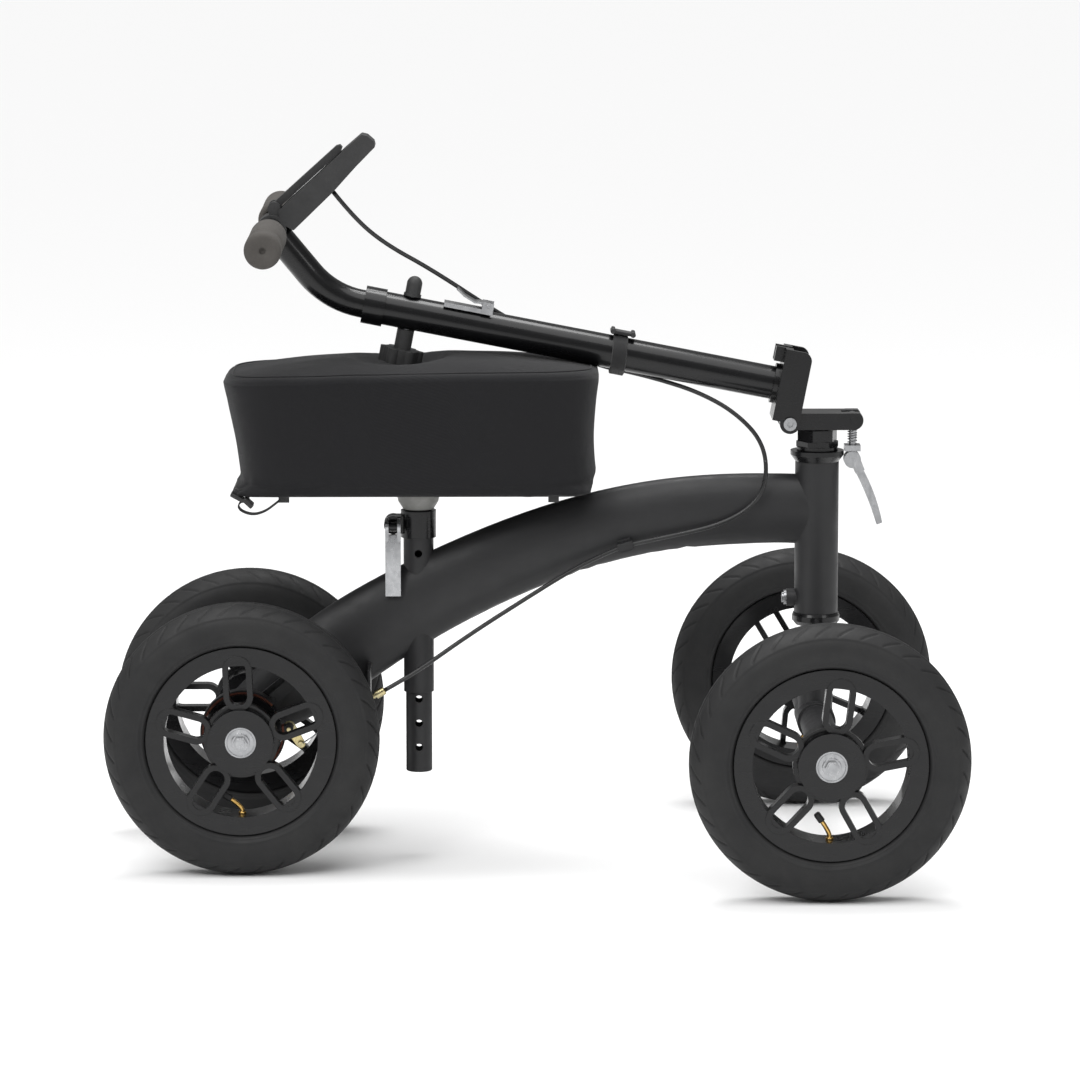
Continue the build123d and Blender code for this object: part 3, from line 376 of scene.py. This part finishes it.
def frames_along(path):
    """Tangent and two cross directions at each point, carried without twist."""
    count = len(path)
    tangents = []
    for i in range(count):
        a = path[max(i - 1, 0)]
        b = path[min(i + 1, count - 1)]
        tangents.append((b - a).normalized())
    side = tangents[0].orthogonal().normalized()
    out = []
    for tangent in tangents:
        side = (side - tangent * side.dot(tangent)).normalized()
        out.append((tangent, side, tangent.cross(side)))
    return out


def tube(name, path, radius, mat, sides=16):
    verts = []
    faces = []
    for point, (_, a, b) in zip(path, frames_along(path)):
        for k in range(sides):
            angle = 2 * math.pi * k / sides
            verts.append(point + (a * math.cos(angle) + b * math.sin(angle)) * radius)
    for i in range(len(path) - 1):
        for k in range(sides):
            n = (k + 1) % sides
            faces.append((i * sides + k, i * sides + n, (i + 1) * sides + n, (i + 1) * sides + k))
    faces.append(tuple(range(sides)))
    faces.append(tuple((len(path) - 1) * sides + k for k in range(sides)))
    return mesh_object(name, verts, faces, mat)


def ribbon(name, path, width, thick, across, mat):
    """A flat strap along a path; across is the direction of its width."""
    across = Vector(across).normalized()
    verts = []
    faces = []
    uvs = []
    run = 0.0
    for i, (point, (tangent, _, _)) in enumerate(zip(path, frames_along(path))):
        if i:
            run += (path[i] - path[i - 1]).length
        up = tangent.cross(across).normalized()
        for a, b in ((-1, -1), (-0.9, 1), (0.9, 1), (1, -1)):
            verts.append(point + across * a * width / 2 + up * b * thick / 2)
            uvs.append((a * width / 2, run))
    for i in range(len(path) - 1):
        for k in range(4):
            n = (k + 1) % 4
            faces.append((i * 4 + k, i * 4 + n, i * 4 + 4 + n, i * 4 + 4 + k))
    faces.append((0, 1, 2, 3))
    last = (len(path) - 1) * 4
    faces.append((last, last + 1, last + 2, last + 3))
    made = mesh_object(name, verts, faces, mat, smooth=False)
    layer = made.data.uv_layers.new(name="UVMap")
    for loop in made.data.loops:
        layer.data[loop.index].uv = uvs[loop.vertex_index]
    return made


def rounded_block(name, centre, size, radius, mat, turn=(0, 0, 0)):
    bm = bmesh.new()
    bmesh.ops.create_cube(bm, size=1)
    bmesh.ops.scale(bm, vec=size, verts=bm.verts)
    bmesh.ops.bevel(bm, geom=bm.edges[:], offset=radius, segments=3, affect="EDGES", profile=0.5)
    bmesh.ops.rotate(bm, matrix=Euler(turn).to_matrix(), verts=bm.verts)
    bmesh.ops.translate(bm, vec=centre, verts=bm.verts)
    mesh = bpy.data.meshes.new(name)
    bm.to_mesh(mesh)
    bm.free()
    mesh.shade_smooth()
    made = bpy.data.objects.new(name, mesh)
    bpy.context.scene.collection.objects.link(made)
    paint(made, mat)
    return made


def join(name, objects):
    """One object from several, keeping every material."""
    mats = []
    bm = bmesh.new()
    bm.loops.layers.uv.new("UVMap")
    for obj in objects:
        start = len(bm.faces)
        bm.from_mesh(obj.data)
        bm.faces.ensure_lookup_table()
        for mat in obj.data.materials:
            if mat not in mats:
                mats.append(mat)
        for face in bm.faces[start:]:
            face.material_index = mats.index(obj.data.materials[face.material_index])
            face.smooth = True
    mesh = bpy.data.meshes.new(name)
    bm.to_mesh(mesh)
    bm.free()
    made = bpy.data.objects.new(name, mesh)
    bpy.context.scene.collection.objects.link(made)
    for mat in mats:
        mesh.materials.append(mat)
    for obj in objects:
        bpy.data.objects.remove(obj)
    return made


# ---- Tyres: smooth sidewalls, slanted shoulder grooves, centre grooves -------------------------
def tyre_profile():
    """Outer skin from the near bead over the crown to the far bead, as (radius, height, zone)."""
    half = [
        (0.0905, 0.0176, 0),
        (0.1074, 0.0176, 0),
        (0.1078, 0.0195, 0),
        (0.1098, 0.0228, 0),
        (0.1112, 0.0246, 0),
        (0.1120, 0.0245, 0),
        (0.1128, 0.0250, 0),
        (0.1150, 0.0262, 0),
        (0.1158, 0.0266, 0),
        (0.1166, 0.0264, 0),
        (0.1200, 0.0273, 0),
        (0.1240, 0.0280, 0),
        (0.1280, 0.0282, 0),
        (0.1320, 0.0279, 0),
        (0.1360, 0.0270, 0),
        (0.1395, 0.0256, 0),
        (0.1412, 0.0247, 0),
        (0.1420, 0.0247, 0.2),
        (0.1434, 0.0238, 1),
        (0.1448, 0.0226, 1),
        (0.1462, 0.0213, 1),
        (0.1475, 0.0200, 1),
        (0.1487, 0.0186, 1),
        (0.1498, 0.0172, 1),
        (0.1508, 0.0158, 1),
        (0.1517, 0.0143, 1),
        (0.1525, 0.0128, 1),
        (0.1532, 0.0112, 1),
        (0.1538, 0.0097, 1),
        (0.1543, 0.0084, 1),
        (0.1545, 0.0076, 2),
        (0.1530, 0.0071, 0),
        (0.1530, 0.0055, 0),
        (0.1548, 0.0050, 2),
        (0.1553, 0.0034, 1),
        (0.1556, 0.0017, 1),
    ]
    return half + [(0.1557, 0.0, 1)] + [(r, -h, z) for r, h, z in reversed(half)]


def groove_depth(height, angle, count):
    """How deep the tread is cut at this height across the tread and angle round it."""
    side = 1 if height >= 0 else -1
    h = abs(height)
    share = (h - 0.0084) / 0.0155
    depth = 0.0
    if 0.0 < share < 1.0:
        pitch = 2 * math.pi / count
        lean = 0.55 * share + 0.28 * share * share
        phase = (angle * side / pitch + lean + (0.5 if side < 0 else 0)) % 1.0
        gap = min(phase, 1 - phase) * pitch * 0.15
        wide = 0.00115 - 0.0004 * share
        if gap < wide * 1.6:
            fall = max(0.0, min(1.0, (wide * 1.6 - gap) / wide))
            ends = min(1.0, share * 7, (1 - share) * 7)
            depth = 0.0021 * fall * ends
    elif h < 0.0045:
        pitch = 2 * math.pi / (count * 2)
        phase = (angle / pitch + height * 90) % 1.0
        gap = min(phase, 1 - phase) * pitch * 0.15
        if gap < 0.0011:
            depth = 0.0014 * (1 - gap / 0.0011) * min(1.0, (0.0045 - h) / 0.0015)
    return depth


def make_tyre(name, side, count, turn):
    low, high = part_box(name + "_tyre")
    centre = (Vector(low) + Vector(high)) / 2
    profile = tyre_profile()
    segments = 864
    rows = len(profile)
    verts = []
    faces = []
    for k in range(segments):
        angle = 2 * math.pi * k / segments
        shifted = angle + math.radians(turn)
        for r, h, zone in profile:
            cut = groove_depth(h, shifted, count) if zone else 0.0
            r_cut = r - cut * (0.55 + 0.45 * min(1.0, (r - 0.142) / 0.012))
            h_cut = h - math.copysign(cut * max(0.0, 1 - (r - 0.142) / 0.012), h)
            verts.append(centre + Vector((r_cut * math.sin(angle), -side * -h_cut, r_cut * math.cos(angle))))
    for k in range(segments):
        n = (k + 1) % segments
        for i in range(rows - 1):
            faces.append((k * rows + i, k * rows + i + 1, n * rows + i + 1, n * rows + i))
        faces.append((k * rows + rows - 1, k * rows, n * rows, n * rows + rows - 1))
    tyre = mesh_object(name + "_tyre_skin", verts, faces, rubber)
    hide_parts(name + "_tyre")
    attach(tyre, name + "_wheel")
    return centre


def make_valve(name, side, centre, lean):
    """Bent brass valve stem with hex collar, and a ribbed black cap."""
    elbow = Vector((0, 0, -0.0785))
    tip = elbow + Vector((-0.016 * math.cos(lean), 0, 0.016 * math.sin(lean)))
    if side > 0:
        tip.x = -tip.x
    bends = [Vector((0, 0, -0.1)), Vector((0, 0, -0.088)), elbow, tip]
    path = smooth_path([centre + bend for bend in bends])
    stem = tube(name + "_valve_stem", path, 0.0026, brass, 20)
    way = (tip - elbow).normalized()
    collar = [(0.0001, 0), (0.0044, 0), (0.0044, 0.003), (0.0033, 0.0042), (0.0001, 0.0042)]
    foot = spin("foot", collar, centre + Vector((0, 0, -0.0876)), (0, 0, 1), 6, brass)
    ribs = []
    for k in range(5):
        z = 0.0012 + k * 0.0017
        ribs += [(0.0041, z), (0.0036, z + 0.0008)]
    profile = [(0.0001, 0), (0.0036, 0)] + ribs + [(0.0038, 0.0098), (0.003, 0.0112), (0.0001, 0.0116)]
    cap = spin("cap", profile, centre + tip - way * 0.001, way, 28, dull_plastic)
    valve = join(name + "_valve", [stem, foot, cap])
    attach(valve, name + "_wheel")
    return valve


def make_air_tube(name, centre):
    """The rubber tube inside the tyre."""
    profile = []
    for k in range(28):
        angle = 2 * math.pi * k / 28
        profile.append((0.1275 + 0.0222 * math.cos(angle), 0.0222 * math.sin(angle)))
    air = spin(name + "_air_tube", profile, centre, (0, 1, 0), 96, dull_plastic)
    return air


for wheel, (side, count, turn) in WHEELS.items():
    middle = make_tyre(wheel, side, count, turn)
    lean = math.radians(55 if "front" in wheel else 35)
    valve = make_valve(wheel, side, middle, lean)
    air = make_air_tube(wheel, middle)
    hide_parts(wheel + "_inner_tube")
    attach(air, wheel + "_wheel")


# ---- Knee pad: a fitted knit cover over foam ---------------------------------------------------
def pad_cover():
    """Stretch cover: crowned top, rolled edge seam, waisted sides and a gathered hem."""
    low, high = (Vector(v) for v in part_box("knee_pad"))
    mid = (low + high) / 2
    half_x = (high.x - low.x) / 2
    half_y = (high.y - low.y) / 2
    base = low.z - 0.0077
    top = 0.5648
    drop_back = math.tan(math.radians(1.0))
    around = 420
    verts = []
    faces = []
    uvs = []

    def outline(angle, inset_x0, inset_x1, inset_y, corner):
        """A rounded rectangle by angle, with its own insets at the rear, the front and the sides."""
        c = math.cos(angle)
        s = math.sin(angle)
        power = 2 / corner
        x = math.copysign(abs(c) ** power, c)
        y = math.copysign(abs(s) ** power, s)
        reach_x = half_x - (inset_x1 if x > 0 else inset_x0)
        return x * reach_x, y * (half_y - inset_y)

    rows = []
    sides = 34
    for i in range(sides + 1):
        h = i / sides
        hem = max(0.0, 0.09 - h) / 0.09
        waist_rear = 0.0205 * (1 - h) ** 1.5 + 0.004 * math.sin(math.pi * h) - 0.0115 * hem**0.7
        waist_front = 0.0055 * math.sin(math.pi * min(1, h * 1.05)) + 0.0095 * max(0, 0.16 - h) / 0.16
        waist_side = 0.0045 * math.sin(math.pi * h) + 0.006 * max(0, 0.12 - h) / 0.12
        bulge = max(0, h - 0.86) / 0.14
        level = base + 0.001 + (top - 0.012 - base) * h
        squareness = 5.2 + 5.5 * hem
        rows.append((level, waist_rear - 0.001 * bulge, waist_front, waist_side, squareness))
    run_up = 0.0
    loops = []
    for z, rear, front, flank, corner in rows:
        loops.append((z, rear, front, flank, corner, run_up))
        run_up += (top - base) / sides
    edge = 8
    for i in range(1, edge + 1):
        angle = i / edge * math.pi / 2
        pull = 0.009 * (1 - math.cos(angle))
        z = top - 0.012 + 0.009 * math.sin(angle)
        loops.append((z, pull, pull, pull, 5.0, run_up + 0.0018 * i))
    crown_rows = 22
    for i in range(1, crown_rows + 1):
        share = i / crown_rows
        loops.append((None, share, 0, 0, 5.0 - 2.2 * share, run_up + 0.016 + share * half_y))
    count = len(loops)
    for z, a, b, c, corner, v in loops:
        for k in range(around):
            angle = 2 * math.pi * k / around
            if z is None:
                x, y = outline(angle, 0.009, 0.009, 0.009, 5.0)
                shrink = 1 - a
                x *= shrink
                y *= shrink
                level = top - 0.003 + 0.0145 * (1 - (1 - a) ** 2.0)
                point = Vector((mid.x + x, mid.y + y, level))
            else:
                x, y = outline(angle, a, b, c, corner)
                point = Vector((mid.x + x, mid.y + y, z))
            verts.append(point)
            uvs.append((angle / (2 * math.pi) * 1.15, v))
    for i in range(count - 1):
        for k in range(around):
            n = (k + 1) % around
            faces.append((i * around + k, i * around + n, (i + 1) * around + n, (i + 1) * around + k))
    hem_rows = ((0.006, -0.0006), (0.02, 0.0002), (0.034, 0.0006))
    start = len(verts)
    for pull, lift in hem_rows:
        for k in range(around):
            ring = verts[k]
            away = Vector((mid.x - ring.x, mid.y - ring.y, 0)).normalized()
            verts.append(ring + away * pull + Vector((0, 0, lift - 0.0004)))
            uvs.append((k / around * 1.15, -pull))
    for i in range(len(hem_rows)):
        a = 0 if i == 0 else start + (i - 1) * around
        b = start + i * around
        for k in range(around):
            n = (k + 1) % around
            faces.append((a + n, a + k, b + k, b + n))

    knob = on_column(-19, 0, 448)
    knob_low = 0.5615
    knob_reach = 0.029
    knob_falloff = 0.035
    column_r = 0.0199
    column_rise = 0.0395
    for i, point in enumerate(verts):
        share_x = (point.x - mid.x) / half_x
        rise = max(0.0, min(1.0, (point.z - base) / (top - base)))
        tilt_here = (point.x - mid.x) * drop_back * (0.15 + 0.85 * rise)
        point.z += tilt_here + 0.0025 * (1 - share_x * share_x) * rise
        high_up = max(0.0, min(1.0, (point.z - base) / (top - base)))
        angle = math.atan2((point.y - mid.y) * 2.1, point.x - mid.x)
        near_hem = max(0.0, 1 - high_up * 5.5)
        gather = math.sin(angle * 46 + 3 * noise.noise(point * 22)) * noise.noise(Vector((angle * 3, 0, 5)))
        out = Vector((point.x - mid.x, (point.y - mid.y) * 2, 0)).normalized()
        if high_up < 0.9:
            point += out * 0.0021 * near_hem * gather
            point.z += 0.0022 * near_hem * noise.noise(Vector((angle * 9, 2, 0)))
            drape = noise.noise(Vector((point.x * 9, point.y * 9, point.z * 26 + 4)))
            point += out * 0.0009 * drape
        else:
            point.z += 0.0007 * noise.noise(Vector((point.x * 22, point.y * 22, 1)))
            away = math.hypot(point.x - knob.x, point.y - knob.y)
            if point.z > knob_low:
                dent = max(0.0, min(1.0, 1 - (away - knob_reach) / knob_falloff))
                point.z += (knob_low - point.z) * dent * dent * (3 - 2 * dent)
            if abs(point.y) < column_r:
                rise_here = (column_rise - math.sqrt(column_r**2 - point.y**2)) / math.cos(TILT)
                under = HINGE.z + rise_here + math.tan(TILT) * (HINGE.x - point.x)
                point.z = min(point.z, under)
    made = mesh_object("knee_pad_cover", verts, faces, knit)
    layer = made.data.uv_layers.new(name="UVMap")
    for loop in made.data.loops:
        layer.data[loop.index].uv = uvs[loop.vertex_index]
    seam_row = sides + edge
    seam = [verts[seam_row * around + k].copy() for k in range(0, around, 2)]
    return made, seam


cover, seam_points = pad_cover()
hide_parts("knee_pad")
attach(cover, "seat")
seam_points.append(seam_points[0].copy())
seam = tube("knee_pad_seam", [p + Vector((0, 0, 0.0004)) for p in seam_points], 0.0011, seam_thread, 8)
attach(seam, "seat")
paint(NODES["pad_board"], dull_plastic)


# ---- Webbing tail and buckle under the rear of the pad -----------------------------------------
def pad_tail():
    y = -0.078
    route = [
        Vector((-0.318, y, 0.4235)),
        Vector((-0.331, y, 0.4185)),
        Vector((-0.329, y, 0.4095)),
        Vector((-0.314, y - 0.002, 0.4045)),
        Vector((-0.3, y - 0.002, 0.4085)),
        Vector((-0.289, y, 0.4165)),
        Vector((-0.284, y, 0.4205)),
    ]
    band = ribbon("band", smooth_path(route), 0.014, 0.0014, (0, 1, 0), strapping)
    pieces = [band]
    for dx, dz, size, turn in (
        (-0.331, 0.4245, (0.017, 0.02, 0.0045), 0.5),
        (-0.319, 0.4185, (0.013, 0.022, 0.0055), 0.75),
    ):
        pieces.append(rounded_block("clip", (dx, y, dz), size, 0.0011, plastic, (0, turn, 0)))
    return join("pad_strap_tail", pieces)


tail = pad_tail()
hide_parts("pad_strap")
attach(tail, "seat")


# ---- Cable strap on the column -----------------------------------------------------------------
def column_strap():
    """Webbing wrapped round the column and the cable, with its cinch buckle on top."""
    t = 205.0
    ring = []
    col_r = 20.4
    bulge = math.radians(25)
    for k in range(73):
        angle = 2 * math.pi * k / 72
        away = abs((angle - math.pi + bulge + math.pi) % (2 * math.pi) - math.pi)
        r = col_r + 6.2 * math.exp(-((away / 0.42) ** 2))
        ring.append(on_column(39.5 + r * math.cos(angle), r * math.sin(angle), t + 1.5 * math.cos(angle)))
    band = ribbon("band", ring, 0.017, 0.0018, T_AXIS, strapping)
    over = on_column(39.5 + 24.0, 0, t)
    pieces = [band]
    pieces.append(rounded_block("buckle", over, (0.029, 0.024, 0.0035), 0.001, strapping, (0, TILT, 0)))
    for shift in (-11.5, 11.5):
        spot = on_column(39.5 + 24.5, 0, t + shift)
        pieces.append(rounded_block("bar", spot, (0.0045, 0.025, 0.0065), 0.0014, plastic, (0, TILT, 0)))
    return join("column_cable_strap", pieces)


strap = column_strap()
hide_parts("cable_strap")
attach(strap, "column")


# ---- Brake cable -------------------------------------------------------------------------------
CABLES = {
    "brake_cable_upper": [
        (-0.2236, 0.0, 0.762), (-0.2, 0.0, 0.7321), (-0.165, 0.005, 0.702), (-0.112, 0.017, 0.6715),
        (-0.0343, 0.024, 0.6193), (0.021, 0.0255, 0.5892), (0.0599, 0.018, 0.5694), (0.0838, 0.0093, 0.5609),
        (0.0965, 0.0093, 0.5584),
    ],
    "brake_cable_loop_upper": [
        (0.0965, 0.0093, 0.5584), (0.1093, 0.0093, 0.5559), (0.146, 0.006, 0.547), (0.19, -0.004, 0.534),
        (0.232, -0.014, 0.512), (0.264, -0.024, 0.479), (0.2665, -0.0265, 0.458),
    ],
    "brake_cable_loop_lower": [
        (0.2665, -0.0265, 0.458), (0.269, -0.029, 0.437), (0.254, -0.032, 0.407), (0.216, -0.032, 0.385),
        (0.166, -0.0305, 0.373), (0.12, -0.029, 0.3635), (0.1075, -0.029, 0.36),
    ],
    "brake_cable_lower": [
        (0.1075, -0.029, 0.36), (0.095, -0.029, 0.3565), (0.046, -0.032, 0.333), (-0.014, -0.038, 0.296),
        (-0.07, -0.045, 0.261), (-0.1355, -0.058, 0.2165), (-0.167, -0.058, 0.199),
    ],
}
CABLE_MOTION = {
    "brake_cable_upper": ("handlebar", "column", (-0.2, 0, 0.732), (-0.03, 0.024, 0.617)),
    "brake_cable_loop_upper": ("column", "steering", (0.115, 0.009, 0.555), (0.262, -0.022, 0.482)),
    "brake_cable_loop_lower": ("steering", "frame", (0.267, -0.029, 0.44), (0.15, -0.03, 0.369)),
}
for name, points in CABLES.items():
    sleeve = tube(name + "_sleeve", smooth_path([Vector(p) for p in points], 14), 0.0025, housing, 18)
    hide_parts(name)
    if name in CABLE_MOTION:
        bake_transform(sleeve)
    else:
        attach(sleeve, "frame")


# ---- Coil spring on the swing bolt -------------------------------------------------------------
def coil_spring():
    low, high = (Vector(v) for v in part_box("swing_bolt_spring"))
    x = (low.x + high.x) / 2
    path = []
    turns = 6.2
    for k in range(int(turns * 26) + 1):
        angle = 2 * math.pi * k / 26
        share = k / (turns * 26)
        z = low.z + 0.0008 + (high.z - low.z - 0.0016) * (share + 0.03 * math.sin(2 * math.pi * share))
        path.append(Vector((x + 0.005 * math.cos(angle), 0.005 * math.sin(angle), z)))
    return tube("swing_bolt_coil", path, 0.0007, zinc, 10)


coil = coil_spring()
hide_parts("swing_bolt_spring")
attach(coil, "swing_bolt")


# ---- Foam grips with closed ends ---------------------------------------------------------------
def foam_grip(side):
    low, high = (Vector(v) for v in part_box("grips"))
    x = (low.x + high.x) / 2
    z = (low.z + high.z) / 2
    inner = 0.103
    outer = high.y
    r = (high.x - low.x) / 2
    profile = [
        (0.0131, inner),
        (r - 0.004, inner),
        (r - 0.0012, inner + 0.0012),
        (r, inner + 0.004),
        (r - 0.0003, (inner + outer) / 2),
        (r, outer - 0.037),
        (r - 0.0009, outer - 0.0362),
        (r - 0.0009, outer - 0.0352),
        (r, outer - 0.0344),
        (r, outer - 0.0225),
        (r - 0.0009, outer - 0.0217),
        (r - 0.0009, outer - 0.0207),
        (r, outer - 0.0199),
        (r, outer - 0.007),
        (r - 0.0006, outer - 0.004),
        (r - 0.0022, outer - 0.0015),
        (r - 0.0048, outer - 0.0003),
        (r - 0.0075, outer),
        (r - 0.0085, outer - 0.0003),
        (0.0042, outer - 0.0006),
        (0.0036, outer - 0.0012),
        (0.0034, outer - 0.0035),
        (0.0002, outer - 0.0036),
        (0.0002, inner + 0.15),
        (0.0131, inner + 0.15),
    ]
    profile = [(rr, yy * side) for rr, yy in profile]
    return spin("foam", profile, (x, 0, z), (0, 1, 0), 72, foam)


grips = join("foam_grips", [foam_grip(-1), foam_grip(1)])
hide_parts("grips")
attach(grips, "handlebar")


# ---- Studio: pale floor, soft light, camera ----------------------------------------------------
def studio():
    scene = bpy.context.scene
    floor_mat = Shader("floor_mat", (0.9, 0.9, 0.9), 0.9)
    floor_mat.bump(floor_mat.noise(40, 3), 0.02, 0.0005)
    reach = 30.0
    floor = mesh_object(
        "studio_floor",
        [Vector((x * reach, y * reach, 0)) for x, y in ((-1, -1), (1, -1), (1, 1), (-1, 1))],
        [(0, 1, 2, 3)],
        floor_mat.mat,
        smooth=False,
    )
    world = bpy.data.worlds.new("studio_world")
    world.use_nodes = True
    sky = world.node_tree.nodes["Background"]
    sky.inputs["Color"].default_value = (1, 1, 1, 1)
    sky.inputs["Strength"].default_value = 0.3
    backdrop = world.node_tree.nodes.new("ShaderNodeBackground")
    backdrop.inputs["Color"].default_value = (1, 1, 1, 1)
    backdrop.inputs["Strength"].default_value = 1.0
    path = world.node_tree.nodes.new("ShaderNodeLightPath")
    mix = world.node_tree.nodes.new("ShaderNodeMixShader")
    links = world.node_tree.links
    links.new(path.outputs["Is Camera Ray"], mix.inputs["Fac"])
    links.new(sky.outputs["Background"], mix.inputs[1])
    links.new(backdrop.outputs["Background"], mix.inputs[2])
    links.new(mix.outputs["Shader"], world.node_tree.nodes["World Output"].inputs["Surface"])
    scene.world = world
    for name, place, aim, size, power in (
        ("key", (-1.8, -2.6, 2.6), (0, 0, 0.3), 1.6, 34),
        ("fill", (2.6, -2.6, 2.0), (0, 0, 0.4), 1.4, 16),
        ("top", (0.1, 0.6, 3.0), (0, 0, 0.3), 1.4, 42),
    ):
        data = bpy.data.lights.new(name, "AREA")
        data.shape = "DISK"
        data.size = size
        data.energy = power
        lamp = bpy.data.objects.new(name, data)
        lamp.location = place
        lamp.rotation_euler = (Vector(aim) - Vector(place)).to_track_quat("-Z", "Y").to_euler()
        scene.collection.objects.link(lamp)
    overcast = bpy.data.lights.new("overcast", "SUN")
    overcast.energy = 2.6
    overcast.angle = math.radians(70)
    overcast_lamp = bpy.data.objects.new("overcast", overcast)
    overcast_lamp.rotation_euler = (math.radians(16), math.radians(-8), 0)
    scene.collection.objects.link(overcast_lamp)
    camera_data = bpy.data.cameras.new("camera")
    camera_data.lens = 170.35
    camera_data.sensor_width = 36
    camera_data.clip_end = 100
    camera = bpy.data.objects.new("camera", camera_data)
    camera.location = (-0.051, -5.778, 1.2665)
    camera.rotation_euler = (math.radians(81.11), 0, math.radians(-0.61))
    scene.collection.objects.link(camera)
    scene.camera = camera
    scene.view_settings.view_transform = "Standard"
    scene.view_settings.exposure = 0.0


studio()
